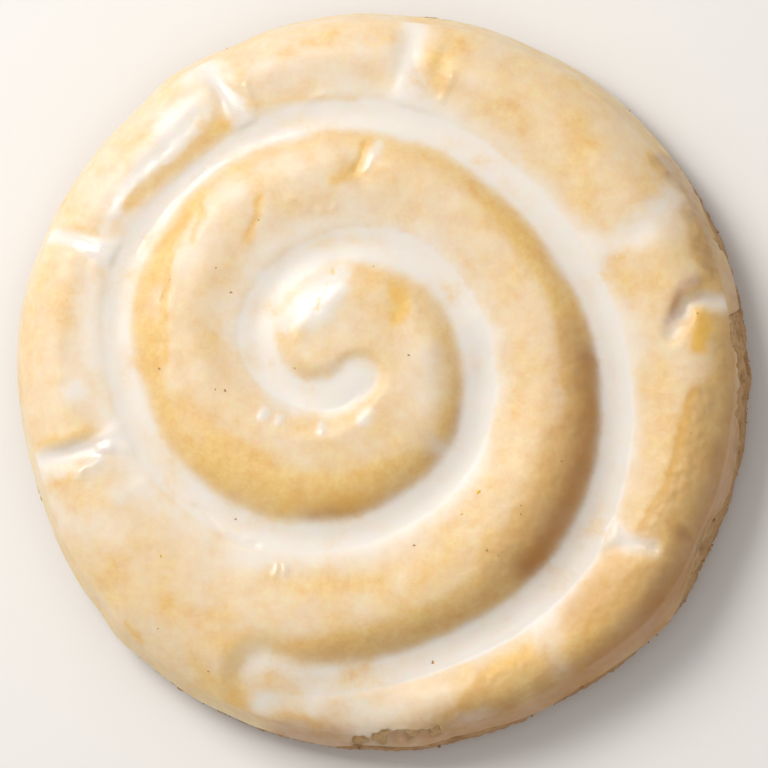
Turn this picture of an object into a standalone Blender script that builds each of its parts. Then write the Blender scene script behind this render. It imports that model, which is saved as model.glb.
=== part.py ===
"""A glazed moulded biscuit in the form of a coiled bun.

One rope of dough winds clockwise from a knob in the middle to the rim. The groove beside it holds
a pool of white glaze, and short cuts part the outer turn. The base is flat.

Frame: origin at the middle of the base, +Z up, and the groove's pole lies to the left of it.
"""

import math

import bmesh
import bpy
import numpy as np

MM = 0.001  # the sizes below are millimetres

# The whole biscuit, without its cuts
MEAN_RADIUS = 30.35
KNOB_TOP = 10.7
RIM_FALL = 2.4  # how much lower the dough would lie at the rim than at the knob
# Unevenness of the outline: waves round it, their height, and where a crest is in degrees
OUTLINE_WAVES = ((2, 0.28, -55), (3, 0.07, 2), (4, 0.09, -31), (5, 0.09, 28), (7, 0.10, 15))
# Dents and bulges of the outline: direction and reach in degrees, height
OUTLINE_BUMPS = (
    (-141.0, 3.0, -0.12),
    (-136.0, 3.0, 0.15),
    (-98.0, 8.0, -0.10),
    (-83.0, 4.0, 0.15),
    (-58.0, 7.0, -0.18),
    (-40.0, 5.0, 0.12),
    (-26.0, 5.0, -0.24),
    (0.0, 3.0, 0.12),
    (12.0, 5.0, -0.12),
    (52.0, 7.0, 0.10),
    (65.0, 5.0, -0.14),
    (94.0, 5.0, 0.12),
    (113.0, 4.0, -0.22),
    (124.0, 4.0, 0.16),
    (133.0, 5.0, -0.14),
    (165.0, 6.0, 0.10),
)

# Side wall and base
WALL_TOP = 6.4
WALL_WIDEST = 2.4
WALL_TAPER = 1.0  # how far the wall leans in at its top
FOOT_ROUND = 0.9
RIM_ROUND = 4.6  # how far in from the edge the rim starts to fall
RIM_FULLNESS = 3.2  # how squarely it falls: 2 is a soft slope

# The spiral groove, in turns clockwise from the left of its pole
POLE_X = -3.4
POLE_Y = 1.2
FIRST_RADIUS = 6.2
PITCH = 11.3
GROOVE_START = -0.4
GROOVE_END = 1.783
GROOVE_HALF_WIDTH = 1.05
GROOVE_FLOOR = 8.8
GROOVE_FALL = 3.4  # how much lower its floor would lie at the rim
GROOVE_TILT = 0.022  # how much lower it lies for each millimetre towards the lower right
# Where it rises towards its ends: turn, rise, reach
SHALLOW_ENDS = ((-0.4, 0.4, 4.0), (1.783, 0.9, 8.0))
OUTER_FACE = 3.8  # width of the rope's steep outward face
OUTER_FULLNESS = 2.3  # how rounded that face is: 1 is a straight slope
INNER_RAMP = 6.5  # width of its gentle inward slope
INNER_FULLNESS = 1.8
INNER_STEP = 0.28  # the part of its rise that is a step out of the groove
STEP_WIDTH = 0.2
FIRST_RAMP = 0.3  # how narrow the ramp is where the groove starts
FIRST_FACE = 0.55  # and the outward face
GROWTH = 0.45  # turns over which they reach their full width
LAST_RAMP = 0.5
LAST_REACH = 0.12
# Where the groove strays from the true spiral: turn, reach in turns, distance outwards
STRAYS = (
    (-0.50, 0.16, 1.6),
    (-0.13, 0.12, -0.85),
    (0.36, 0.13, 0.45),
    (0.59, 0.06, 0.4),
    (1.06, 0.05, 0.6),
    (1.40, 0.09, -1.3),
    (1.61, 0.07, 1.1),
    (1.79, 0.06, 0.5),
)
# Where the groove is wider or narrower: turn, reach in turns, change of half width
SWELLINGS = (
    (-0.42, 0.08, -0.5),
    (0.03, 0.08, 0.35),
    (0.33, 0.05, 0.25),
    (1.15, 0.04, -0.45),
    (1.62, 0.07, 0.25),
)

# Cuts across the outer turn: path from its wider end, half width, depth
CUTS = {
    "right_bent": (((32.0, 5.2), (26.8, 5.9), (25.6, 5.6), (25.2, 4.7)), 0.65, 1.35),
    "right_bend": (((25.0, 4.4), (24.3, 3.0)), 0.6, 0.6),
    "right_soft": (((17.0, 9.6), (21.4, 11.3), (24.6, 14.2)), 1.5, 0.4),
    "top": (((3.0, 21.0), (2.8, 26.0), (3.3, 31.0)), 1.1, 1.15),
    "top_fold": (((4.6, 22.4), (4.9, 24.6), (6.4, 27.6)), 0.6, 0.15),
    "top_left": (((-11.0, 21.3), (-12.8, 23.9), (-15.0, 26.8)), 0.6, 1.3),
    "left_upper": (((-20.9, 9.8), (-24.6, 11.3), (-27.8, 12.1)), 0.65, 1.3),
    "left_lower": (((-20.2, -4.9), (-25.2, -6.4), (-31.0, -7.2)), 0.75, 1.5),
    "tail": (((-7.6, -24.6), (-9.8, -27.0)), 0.9, 0.5),
    "bottom": (((13.9, -20.8), (15.0, -24.0)), 0.9, 0.35),
    "right_lower": (((18.6, -13.0), (20.9, -14.0), (22.7, -14.3)), 0.65, 0.9),
}
CUT_FLARE = 0.9  # how much wider a cut is where it opens into the groove
FLARE_REACH = 1.6
# Soft lumps and hollows of the hand-sized kind: x, y, reach, height
LUMPS = (
    (-5.4, 5.2, 2.6, -0.15),
    (2.2, 5.6, 1.4, -0.14),
    (-1.2, 17.0, 1.6, -0.35),
    (9.0, 22.5, 3.0, 0.2),
    (-13.0, -17.5, 5.0, -0.25),
    (-1.0, -27.6, 4.5, -0.7),
    (20.5, -18.0, 3.5, 0.2),
    (12.0, -8.5, 5.5, 0.35),
    (4.8, 1.8, 1.8, 0.2),
    (-3.0, 2.0, 5.0, -0.15),
    (0.2, -0.4, 2.4, -0.25),
)

# The pool of glaze in the groove
POOL_GAP = 0.3  # clear space between the pool and the dough
POOL_THICKNESS = 0.4
POOL_STEPS = 150
POOL_END = 1.74
POOL_END_TAPER = 0.06  # turns over which an end narrows

# Mesh of the dough before and after it is thinned out
AROUND = 320
TOP_RINGS = 70
RIM_RINGS = 14
WALL_RINGS = 8
BASE_DEPTH = 1.0  # dough below the base plane, cut off in the end
DOUGH_TRIANGLES = 10400

DOUGH_COLOUR = (0.80, 0.52, 0.22, 1.0)
GLAZE_COLOUR = (0.86, 0.80, 0.74, 1.0)


def clear_scene():
    for old in list(bpy.data.objects):
        bpy.data.objects.remove(old, do_unlink=True)


def bumps(at, rows):
    """The sum of the rows' soft bumps, each a centre, a reach and a height."""
    return sum(height * np.exp(-(((at - centre) / reach) ** 2)) for centre, reach, height in rows)


def outline_radius(angle):
    """The biscuit's widest radius in a direction from its centre."""
    radius = MEAN_RADIUS + 0.0 * angle
    for waves, height, crest in OUTLINE_WAVES:
        radius = radius + height * np.cos(waves * (angle - math.radians(crest)))
    for direction, reach, height in OUTLINE_BUMPS:
        turned = (angle - math.radians(direction) + math.pi) % (2 * math.pi) - math.pi
        radius = radius + height * np.exp(-((turned / math.radians(reach)) ** 2))
    return radius


def groove_middle(turn):
    return FIRST_RADIUS + PITCH * turn + bumps(turn, STRAYS)


def groove_half_width(turn):
    return GROOVE_HALF_WIDTH + bumps(turn, SWELLINGS)


def outer_face(away):
    """0 at the groove to 1 on the rope's crest, up the steep face that the rope turns outwards."""
    part = np.clip(away / OUTER_FACE, 0.0, 1.0)
    return (1.0 - (1.0 - part) ** OUTER_FULLNESS) ** 0.9


def inner_ramp(away):
    """0 at the groove to 1 on the rope's crest, up the gentle slope on the rope's inner side."""
    away = np.maximum(away, 0.0)
    part = np.minimum(away / INNER_RAMP, 1.0)
    step = 1.0 - np.exp(-away / STEP_WIDTH)
    return INNER_STEP * step + (1.0 - INNER_STEP) * (1.0 - (1.0 - part) ** INNER_FULLNESS)


def groove_point(turn):
    """The point of the groove's middle line at a turn."""
    angle = math.pi - turn * 2 * math.pi
    radius = groove_middle(turn)
    return POLE_X + radius * math.cos(angle), POLE_Y + radius * math.sin(angle)


def groove_floor(x, y):
    fall = GROOVE_FALL * (x * x + y * y) / MEAN_RADIUS**2
    floor = GROOVE_FLOOR - fall - GROOVE_TILT * (0.87 * x - 0.5 * y)
    for end, rise, reach in SHALLOW_ENDS:
        end_x, end_y = groove_point(end)
        floor = floor + rise * np.exp(-((x - end_x) ** 2 + (y - end_y) ** 2) / reach**2)
    return floor


def face_width(turn):
    """The outward face's width at a turn of the groove, as a part of its full width."""
    return 1.0 - (1.0 - FIRST_FACE) * np.exp(-(((turn - GROOVE_START) / GROWTH) ** 2))


def ramp_width(turn):
    """The inner ramp's width at a turn of the groove, as a part of its full width."""
    started = 1.0 - (1.0 - FIRST_RAMP) * np.exp(-(((turn - GROOVE_START) / GROWTH) ** 2))
    ending = 1.0 - (1.0 - LAST_RAMP) * np.exp(-(((turn - GROOVE_END) / LAST_REACH) ** 2))
    return started * ending


def beside_groove(x, y):
    """How far each point lies inwards of the groove and outwards of it, less than 0 in it.

    Both are stretched where the slopes beside the groove are narrower than usual.
    """
    radius = np.hypot(x - POLE_X, y - POLE_Y)
    turn_here = (math.pi - np.arctan2(y - POLE_Y, x - POLE_X)) / (2 * math.pi)
    inside = np.full(np.shape(x), np.inf)
    outside = inside
    for end in (GROOVE_START, GROOVE_END):
        end_x, end_y = groove_point(end)
        from_end = np.hypot(x - end_x, y - end_y) - groove_half_width(end)
        inside = np.minimum(inside, np.maximum(from_end, from_end / face_width(end)))
        outside = np.minimum(outside, np.maximum(from_end, from_end / ramp_width(end)))
    for whole_turns in range(-1, 2):
        turn = turn_here + whole_turns
        across = radius - groove_middle(turn)
        beside = np.abs(across) - groove_half_width(turn)
        in_groove = (turn >= GROOVE_START) & (turn <= GROOVE_END)
        to_face = np.maximum(beside, beside / face_width(turn))
        to_ramp = np.maximum(beside, beside / ramp_width(turn))
        inside = np.where(in_groove & (across < 0.0), np.minimum(inside, to_face), inside)
        outside = np.where(in_groove & (across >= 0.0), np.minimum(outside, to_ramp), outside)
    return inside, outside


def distance_to_path(x, y, path):
    """The distance from each point to a path of straight pieces."""
    nearest = np.full(np.shape(x), np.inf)
    for (x0, y0), (x1, y1) in zip(path, path[1:]):
        length = math.hypot(x1 - x0, y1 - y0)
        along = ((x - x0) * (x1 - x0) + (y - y0) * (y1 - y0)) / length**2
        along = np.clip(along, 0.0, 1.0)
        away = np.hypot(x - x0 - along * (x1 - x0), y - y0 - along * (y1 - y0))
        nearest = np.minimum(nearest, away)
    return nearest


def in_cut(x, y, path, half_width):
    """1 in the middle of a cut to 0 well beside it."""
    from_groove = np.hypot(x - path[0][0], y - path[0][1])
    flared = half_width * (1.0 + CUT_FLARE * np.exp(-((from_groove / FLARE_REACH) ** 2)))
    return np.exp(-((distance_to_path(x, y, path) / flared) ** 2))


def dough_top(x, y):
    """The height of the dough's upper side, before its rim is rounded off."""
    crest = KNOB_TOP - RIM_FALL * (x * x + y * y) / MEAN_RADIUS**2
    for lump_x, lump_y, reach, height in LUMPS:
        away = np.hypot(x - lump_x, y - lump_y)
        crest = crest + height * np.exp(-((away / reach) ** 2))
    for path, half_width, depth in CUTS.values():
        crest = crest - depth * in_cut(x, y, path, half_width)
    floor = groove_floor(x, y)
    inside, outside = beside_groove(x, y)
    return floor + np.maximum(crest - floor, 0.0) * outer_face(inside) * inner_ramp(outside)


def wall_radius(angle, height):
    """The side wall's radius: widest near its foot, leaning in above and rounded under below."""
    above = max(height - WALL_WIDEST, 0.0) / (WALL_TOP - WALL_WIDEST)
    below = min(max(WALL_WIDEST - height, 0.0) / WALL_WIDEST, 1.0)
    return outline_radius(angle) - WALL_TAPER * above**1.5 - FOOT_ROUND * below**2


def dough_rings(angle):
    """Rings of points from the centre out over the rim and down the wall to below the base."""
    edge = wall_radius(angle, WALL_TOP)
    for ring in range(1, TOP_RINGS + RIM_RINGS + 1):
        # Even steps over the top, then ever closer rings round the rim
        if ring <= TOP_RINGS:
            to_edge = 1.0
            radius = (edge - RIM_ROUND) * ring / TOP_RINGS
        else:
            to_edge = (1.0 - (ring - TOP_RINGS) / RIM_RINGS) ** 2
            radius = edge - RIM_ROUND * to_edge
        x = radius * np.cos(angle)
        y = radius * np.sin(angle)
        fall = 1.0 - (1.0 - to_edge) ** RIM_FULLNESS
        yield x, y, WALL_TOP + (dough_top(x, y) - WALL_TOP) * fall
    for ring in range(1, WALL_RINGS + 1):
        height = WALL_TOP - (WALL_TOP + BASE_DEPTH) * ring / WALL_RINGS
        radius = wall_radius(angle, height)
        yield radius * np.cos(angle), radius * np.sin(angle), height + 0.0 * angle


def mesh_object(name, points, faces, material):
    """An object from points in millimetres."""
    mesh = bpy.data.meshes.new(name)
    mesh.from_pydata([tuple(point) for point in np.asarray(points) * MM], [], faces)
    mesh.materials.append(material)
    mesh.shade_smooth()
    made = bpy.data.objects.new(name, mesh)
    bpy.context.scene.collection.objects.link(made)
    return made


def ring_faces(rings, around):
    """Quads between neighbouring rings of points, with point 0 in front of the first ring."""
    faces = []
    for ring in range(rings - 1):
        for step in range(around):
            a = 1 + ring * around + step
            b = 1 + ring * around + (step + 1) % around
            faces.append((a, a + around, b + around, b))
    return faces


def thinned(thing, triangles):
    """Gives an object a mesh with fewer triangles, placed where its shape needs them."""
    thing.data.calc_loop_triangles()
    fewer = thing.modifiers.new("fewer triangles", "DECIMATE")
    fewer.ratio = triangles / len(thing.data.loop_triangles)
    graph = bpy.context.evaluated_depsgraph_get()
    mesh = bpy.data.meshes.new_from_object(thing.evaluated_get(graph))
    thing.modifiers.remove(fewer)
    thing.data = mesh


def cut_flat_base(thing):
    """Cuts off what lies below the base plane and closes the cut with one flat face."""
    form = bmesh.new()
    form.from_mesh(thing.data)
    everything = form.verts[:] + form.edges[:] + form.faces[:]
    cut = bmesh.ops.bisect_plane(
        form, geom=everything, plane_co=(0, 0, 0), plane_no=(0, 0, -1), clear_outer=True
    )
    rim = [part for part in cut["geom_cut"] if isinstance(part, bmesh.types.BMEdge)]
    bmesh.ops.edgeloop_fill(form, edges=rim)
    bmesh.ops.triangulate(form, faces=form.faces[:])
    bmesh.ops.recalc_face_normals(form, faces=form.faces[:])
    form.to_mesh(thing.data)
    form.free()


def principled(name, colour, roughness):
    material = bpy.data.materials.new(name)
    material.use_nodes = True
    material.diffuse_color = colour
    shader = material.node_tree.nodes["Principled BSDF"]
    shader.inputs["Base Color"].default_value = colour
    shader.inputs["Metallic"].default_value = 0.0
    shader.inputs["Roughness"].default_value = roughness
    return material


def build_cookie():
    """The baked dough: rope, knob, cut outer turn, rim, wall and flat base in one solid."""
    angle = np.linspace(0.0, 2 * math.pi, AROUND, endpoint=False)
    points = [(0.0, 0.0, float(dough_top(np.zeros(1), np.zeros(1))[0]))]
    for x, y, z in dough_rings(angle):
        points.extend(zip(x, y, z))
    points.append((0.0, 0.0, -BASE_DEPTH))
    rings = TOP_RINGS + RIM_RINGS + WALL_RINGS
    faces = ring_faces(rings, AROUND)
    last_ring = 1 + (rings - 1) * AROUND
    for step in range(AROUND):
        after = (step + 1) % AROUND
        faces.append((0, 1 + step, 1 + after))
        faces.append((len(points) - 1, last_ring + after, last_ring + step))
    cookie = mesh_object("cookie", points, faces, principled("baked_dough", DOUGH_COLOUR, 0.6))
    thinned(cookie, DOUGH_TRIANGLES)
    cut_flat_base(cookie)
    cookie.data.shade_smooth()
    cookie.data.set_sharp_from_angle(angle=math.radians(55))
    return cookie


def build_glaze_pool():
    """The set glaze in the groove: a ribbon that follows it, narrower at both ends."""
    points = []
    for step in range(POOL_STEPS + 1):
        turn = GROOVE_START + (POOL_END - GROOVE_START) * step / POOL_STEPS
        from_end = min(turn - GROOVE_START, POOL_END - turn)
        fullness = math.sqrt(min(from_end / POOL_END_TAPER + 0.1, 1.0))
        half = (float(groove_half_width(turn)) - POOL_GAP / 2) * fullness
        x, y = groove_point(turn)
        low = groove_floor(x, y) + POOL_GAP
        high = low + POOL_THICKNESS
        angle = math.pi - turn * 2 * math.pi
        for across, height in ((-half, low), (-half, high), (half, high), (half, low)):
            points.append((x + across * math.cos(angle), y + across * math.sin(angle), height))
    faces = [(0, 1, 2, 3)]
    for step in range(POOL_STEPS):
        first = step * 4
        for side in range(4):
            after = (side + 1) % 4
            faces.append((first + side, first + 4 + side, first + 4 + after, first + after))
    last = POOL_STEPS * 4
    faces.append((last + 3, last + 2, last + 1, last))
    return mesh_object("glaze_pool", points, faces, principled("set_glaze", GLAZE_COLOUR, 0.25))


clear_scene()
build_cookie()
build_glaze_pool()
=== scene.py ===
"""The looks of a glazed moulded biscuit in the form of a coiled bun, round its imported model.

The sections follow the making: the dough is moulded and baked, the glaze is poured, bran and yolk
specks show in it, and crumbs cling to the side. Sizes are millimetres until a mesh is made.
"""
import math

import bpy
import numpy as np
from mathutils import Matrix, Vector, noise


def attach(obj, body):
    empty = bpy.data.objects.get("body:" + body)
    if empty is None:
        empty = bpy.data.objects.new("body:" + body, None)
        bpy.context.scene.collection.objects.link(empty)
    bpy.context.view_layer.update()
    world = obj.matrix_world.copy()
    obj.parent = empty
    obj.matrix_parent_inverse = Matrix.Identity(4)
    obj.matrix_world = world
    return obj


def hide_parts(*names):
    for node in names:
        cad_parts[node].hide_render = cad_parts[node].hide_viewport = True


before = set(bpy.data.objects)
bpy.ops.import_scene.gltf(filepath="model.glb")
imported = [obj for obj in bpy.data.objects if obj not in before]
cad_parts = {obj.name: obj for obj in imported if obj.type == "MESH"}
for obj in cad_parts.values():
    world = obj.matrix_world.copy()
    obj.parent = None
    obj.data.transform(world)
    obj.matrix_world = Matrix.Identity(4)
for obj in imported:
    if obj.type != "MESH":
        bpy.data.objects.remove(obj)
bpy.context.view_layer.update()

# ---- Baked dough ---------------------------------------------------------------------------------
# A rope of soft biscuit dough, moulded so that it winds out from a knob to the rim, cut across its
# outer turn and baked on a flat tray. It shows bare on the lower side wall and underneath.

MM = 0.001

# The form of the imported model, from here to its lumps: first the whole biscuit
MEAN_RADIUS = 30.35
KNOB_TOP = 10.7
RIM_FALL = 2.4  # how much lower the dough would lie at the rim than at the knob
# Unevenness of the outline: waves round it, their height, and where a crest is in degrees
OUTLINE_WAVES = ((2, 0.28, -55), (3, 0.07, 2), (4, 0.09, -31), (5, 0.09, 28), (7, 0.10, 15))
# Dents and bulges of the outline: direction and reach in degrees, height
OUTLINE_BUMPS = (
    (-141.0, 3.0, -0.12),
    (-136.0, 3.0, 0.15),
    (-98.0, 8.0, -0.10),
    (-83.0, 4.0, 0.15),
    (-58.0, 7.0, -0.18),
    (-40.0, 5.0, 0.12),
    (-26.0, 5.0, -0.24),
    (0.0, 3.0, 0.12),
    (12.0, 5.0, -0.12),
    (52.0, 7.0, 0.10),
    (65.0, 5.0, -0.14),
    (94.0, 5.0, 0.12),
    (113.0, 4.0, -0.22),
    (124.0, 4.0, 0.16),
    (133.0, 5.0, -0.14),
    (165.0, 6.0, 0.10),
)
# Side wall and rim
WALL_TOP = 6.4
WALL_WIDEST = 2.4
WALL_TAPER = 1.0  # how far the wall leans in at its top
WALL_CURVE = 1.5  # how it leans: 1 is straight
FOOT_ROUND = 0.9
RIM_ROUND = 4.6  # how far in from the edge the rim starts to fall
RIM_FULLNESS = 3.2  # how squarely it falls: 2 is a soft slope
# The spiral groove, in turns clockwise from the left of its pole
POLE_X = -3.4
POLE_Y = 1.2
FIRST_RADIUS = 6.2
PITCH = 11.3
GROOVE_START = -0.4
GROOVE_END = 1.783
GROOVE_HALF_WIDTH = 1.05
GROOVE_FLOOR = 8.8
GROOVE_FALL = 3.4  # how much lower its floor would lie at the rim
GROOVE_TILT = 0.022  # how much lower it lies for each millimetre towards the lower right
TILT_X = 0.87  # which way that is
TILT_Y = -0.5
# Where it rises towards its ends: turn, rise, reach
SHALLOW_ENDS = ((-0.4, 0.4, 4.0), (1.783, 0.9, 8.0))
OUTER_FACE = 3.8  # width of the rope's steep outward face
OUTER_FULLNESS = 2.3  # how rounded that face is: 1 is a straight slope
OUTER_FOOT = 0.9  # less than 1 makes its foot steeper
INNER_RAMP = 6.5  # width of its gentle inward slope
INNER_FULLNESS = 1.8
INNER_STEP = 0.28  # the part of its rise that is a step out of the groove
STEP_WIDTH = 0.2
FIRST_RAMP = 0.3  # how narrow the ramp is where the groove starts
FIRST_FACE = 0.55  # and the outward face
GROWTH = 0.45  # turns over which they reach their full width
LAST_RAMP = 0.5  # and how narrow the ramp is where the groove ends
LAST_REACH = 0.12  # turns over which it narrows to that
# Where the groove strays from the true spiral: turn, reach in turns, distance outwards
STRAYS = (
    (-0.50, 0.16, 1.6),
    (-0.13, 0.12, -0.85),
    (0.36, 0.13, 0.45),
    (0.59, 0.06, 0.4),
    (1.06, 0.05, 0.6),
    (1.40, 0.09, -1.3),
    (1.61, 0.07, 1.1),
    (1.79, 0.06, 0.5),
)
# Where it is wider or narrower: turn, reach in turns, half width more
SWELLINGS = (
    (-0.42, 0.08, -0.5),
    (0.03, 0.08, 0.35),
    (0.33, 0.05, 0.25),
    (1.15, 0.04, -0.45),
    (1.62, 0.07, 0.25),
)
# Cuts across the outer turn: path from its wider end, half width, depth
CUTS = {
    "right_bent": (((32.0, 5.2), (26.8, 5.9), (25.6, 5.6), (25.2, 4.7)), 0.65, 1.35),
    "right_bend": (((25.0, 4.4), (24.3, 3.0)), 0.6, 0.6),
    "right_soft": (((17.0, 9.6), (21.4, 11.3), (24.6, 14.2)), 1.5, 0.4),
    "top": (((3.0, 21.0), (2.8, 26.0), (3.3, 31.0)), 1.1, 1.15),
    "top_fold": (((4.6, 22.4), (4.9, 24.6), (6.4, 27.6)), 0.6, 0.15),
    "top_left": (((-11.0, 21.3), (-12.8, 23.9), (-15.0, 26.8)), 0.6, 1.3),
    "left_upper": (((-20.9, 9.8), (-24.6, 11.3), (-27.8, 12.1)), 0.65, 1.3),
    "left_lower": (((-20.2, -4.9), (-25.2, -6.4), (-31.0, -7.2)), 0.75, 1.5),
    "tail": (((-7.6, -24.6), (-9.8, -27.0)), 0.9, 0.5),
    "bottom": (((13.9, -20.8), (15.0, -24.0)), 0.9, 0.35),
    "right_lower": (((18.6, -13.0), (20.9, -14.0), (22.7, -14.3)), 0.65, 0.9),
}
CUT_FLARE = 0.9  # how much wider a cut is where it opens into the groove
FLARE_REACH = 1.6
# Lumps and hollows of the moulded dough: place, half width, height
LUMPS = (
    (((-5.4, 5.2),), 2.6, -0.15),
    (((2.2, 5.6),), 1.4, -0.14),
    (((-1.2, 17.0),), 1.6, -0.35),
    (((9.0, 22.5),), 3.0, 0.2),
    (((-13.0, -17.5),), 5.0, -0.25),
    (((-1.0, -27.6),), 4.5, -0.7),
    (((20.5, -18.0),), 3.5, 0.2),
    (((12.0, -8.5),), 5.5, 0.35),
    (((4.8, 1.8),), 1.8, 0.2),
    (((-3.0, 2.0),), 5.0, -0.15),
    (((0.2, -0.4),), 2.4, -0.25),
)


def bumps(at, rows):
    """The sum of soft bumps along a line, each a centre, a reach and a height."""
    return sum(height * np.exp(-(((at - centre) / reach) ** 2)) for centre, reach, height in rows)


def turned_from(angle, direction):
    """How far an angle is turned from a direction in degrees, between -pi and pi."""
    return (angle - math.radians(direction) + math.pi) % (2 * math.pi) - math.pi


def with_bumps(value, angle, rows):
    """A value round the outline with soft bumps added: direction and reach in degrees, height."""
    for direction, reach, height in rows:
        value = value + height * np.exp(-((turned_from(angle, direction) / math.radians(reach)) ** 2))
    return value


def outline_radius(angle):
    """The biscuit's widest radius in a direction from its centre."""
    radius = MEAN_RADIUS + 0.0 * angle
    for waves, height, crest in OUTLINE_WAVES:
        radius = radius + height * np.cos(waves * (angle - math.radians(crest)))
    return with_bumps(radius, angle, OUTLINE_BUMPS)


def groove_middle(turn):
    return FIRST_RADIUS + PITCH * turn + bumps(turn, STRAYS)


def groove_half_width(turn):
    return GROOVE_HALF_WIDTH + bumps(turn, SWELLINGS)


def outer_face(away):
    """0 at the groove to 1 on the rope's crest, up the steep face that the rope turns outwards."""
    part = np.clip(away / OUTER_FACE, 0.0, 1.0)
    return (1.0 - (1.0 - part) ** OUTER_FULLNESS) ** OUTER_FOOT


def inner_ramp(away):
    """0 at the groove to 1 on the rope's crest, up the gentle slope on the rope's inner side."""
    away = np.maximum(away, 0.0)
    part = np.minimum(away / INNER_RAMP, 1.0)
    step = 1.0 - np.exp(-away / STEP_WIDTH)
    return INNER_STEP * step + (1.0 - INNER_STEP) * (1.0 - (1.0 - part) ** INNER_FULLNESS)


def groove_point(turn):
    """The point of the groove's middle line at a turn."""
    angle = math.pi - turn * 2 * math.pi
    radius = groove_middle(turn)
    return POLE_X + radius * math.cos(angle), POLE_Y + radius * math.sin(angle)


def face_width(turn):
    """The outward face's width at a turn of the groove, as a part of its full width."""
    return 1.0 - (1.0 - FIRST_FACE) * np.exp(-(((turn - GROOVE_START) / GROWTH) ** 2))


def ramp_width(turn):
    """The inner ramp's width at a turn of the groove, as a part of its full width."""
    started = 1.0 - (1.0 - FIRST_RAMP) * np.exp(-(((turn - GROOVE_START) / GROWTH) ** 2))
    ending = 1.0 - (1.0 - LAST_RAMP) * np.exp(-(((turn - GROOVE_END) / LAST_REACH) ** 2))
    return started * ending


def turns_at(x, y):
    """The turns that the groove may make past the points, one for each time it winds round.

    With each come how far the points lie outwards of its middle line and whether it runs there.
    """
    radius = np.hypot(x - POLE_X, y - POLE_Y)
    turn_here = (math.pi - np.arctan2(y - POLE_Y, x - POLE_X)) / (2 * math.pi)
    for whole_turns in range(-1, 2):
        turn = turn_here + whole_turns
        yield turn, radius - groove_middle(turn), (turn >= GROOVE_START) & (turn <= GROOVE_END)


def beside_groove(x, y):
    """How far each point lies inwards of the groove and outwards of it, less than 0 in it.

    Both are stretched where the slopes beside the groove are narrower than usual.
    """
    inside = np.full(np.shape(x), np.inf)
    outside = inside
    for end in (GROOVE_START, GROOVE_END):
        end_x, end_y = groove_point(end)
        from_end = np.hypot(x - end_x, y - end_y) - groove_half_width(end)
        inside = np.minimum(inside, np.maximum(from_end, from_end / face_width(end)))
        outside = np.minimum(outside, np.maximum(from_end, from_end / ramp_width(end)))
    for turn, across, runs_here in turns_at(x, y):
        beside = np.abs(across) - groove_half_width(turn)
        to_face = np.maximum(beside, beside / face_width(turn))
        to_ramp = np.maximum(beside, beside / ramp_width(turn))
        inside = np.where(runs_here & (across < 0.0), np.minimum(inside, to_face), inside)
        outside = np.where(runs_here & (across >= 0.0), np.minimum(outside, to_ramp), outside)
    return inside, outside


def distance_to_path(x, y, path):
    """The distance from each point to a path of straight pieces, or to a single place."""
    nearest = np.hypot(x - path[0][0], y - path[0][1])
    for (x0, y0), (x1, y1) in zip(path, path[1:]):
        length = math.hypot(x1 - x0, y1 - y0)
        along = ((x - x0) * (x1 - x0) + (y - y0) * (y1 - y0)) / length**2
        along = np.clip(along, 0.0, 1.0)
        away = np.hypot(x - x0 - along * (x1 - x0), y - y0 - along * (y1 - y0))
        nearest = np.minimum(nearest, away)
    return nearest


def in_cut(x, y, path, half_width):
    """1 in the middle of a cut to 0 well beside it."""
    from_groove = np.hypot(x - path[0][0], y - path[0][1])
    flared = half_width * (1.0 + CUT_FLARE * np.exp(-((from_groove / FLARE_REACH) ** 2)))
    return np.exp(-((distance_to_path(x, y, path) / flared) ** 2))


def strokes(x, y, rows):
    """The sum of soft strokes, each a path, a half width and an amount at its middle."""
    total = 0.0 * x
    for path, half_width, amount in rows:
        total = total + amount * np.exp(-((distance_to_path(x, y, path) / half_width) ** 2))
    return total


def groove_floor(x, y):
    """The height of the groove's floor, as it would lie at each point."""
    fall = GROOVE_FALL * (x * x + y * y) / MEAN_RADIUS**2
    floor = GROOVE_FLOOR - fall - GROOVE_TILT * (TILT_X * x + TILT_Y * y)
    for end, rise, reach in SHALLOW_ENDS:
        end_x, end_y = groove_point(end)
        floor = floor + rise * np.exp(-((x - end_x) ** 2 + (y - end_y) ** 2) / reach**2)
    return floor


def dough_top(x, y):
    """The height of the moulded dough, before its rim is rounded off."""
    crest = KNOB_TOP - RIM_FALL * (x * x + y * y) / MEAN_RADIUS**2
    crest = crest + strokes(x, y, LUMPS)
    for path, half_width, depth in CUTS.values():
        crest = crest - depth * in_cut(x, y, path, half_width)
    floor = groove_floor(x, y)
    inside, outside = beside_groove(x, y)
    return floor + np.maximum(crest - floor, 0.0) * outer_face(inside) * inner_ramp(outside)


def wall_radius(angle, height):
    """The side wall's radius: widest near its foot, leaning in above and rounded under below."""
    above = np.maximum(height - WALL_WIDEST, 0.0) / (WALL_TOP - WALL_WIDEST)
    below = np.clip((WALL_WIDEST - height) / WALL_WIDEST, 0.0, 1.0)
    return outline_radius(angle) - WALL_TAPER * above**WALL_CURVE - FOOT_ROUND * below**2


def rounded_rim(x, y, edge, top):
    """The height at a point once the rim is rounded off: top well inside, WALL_TOP at the edge."""
    to_edge = np.clip((edge - np.hypot(x, y)) / RIM_ROUND, 0.0, 1.0)
    fall = 1.0 - (1.0 - to_edge) ** RIM_FULLNESS
    return WALL_TOP + (top - WALL_TOP) * fall


def grain(points, size):
    """Smooth noise from about -1 to 1 at each point, with lumps of a size in millimetres."""
    return np.array([noise.noise(Vector(point) / size) for point in points])


def rough(points, layers):
    """Noise of several sizes laid over each other, each a size in millimetres and an amount."""
    return sum(amount * grain(points, size) for size, amount in layers)


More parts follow.
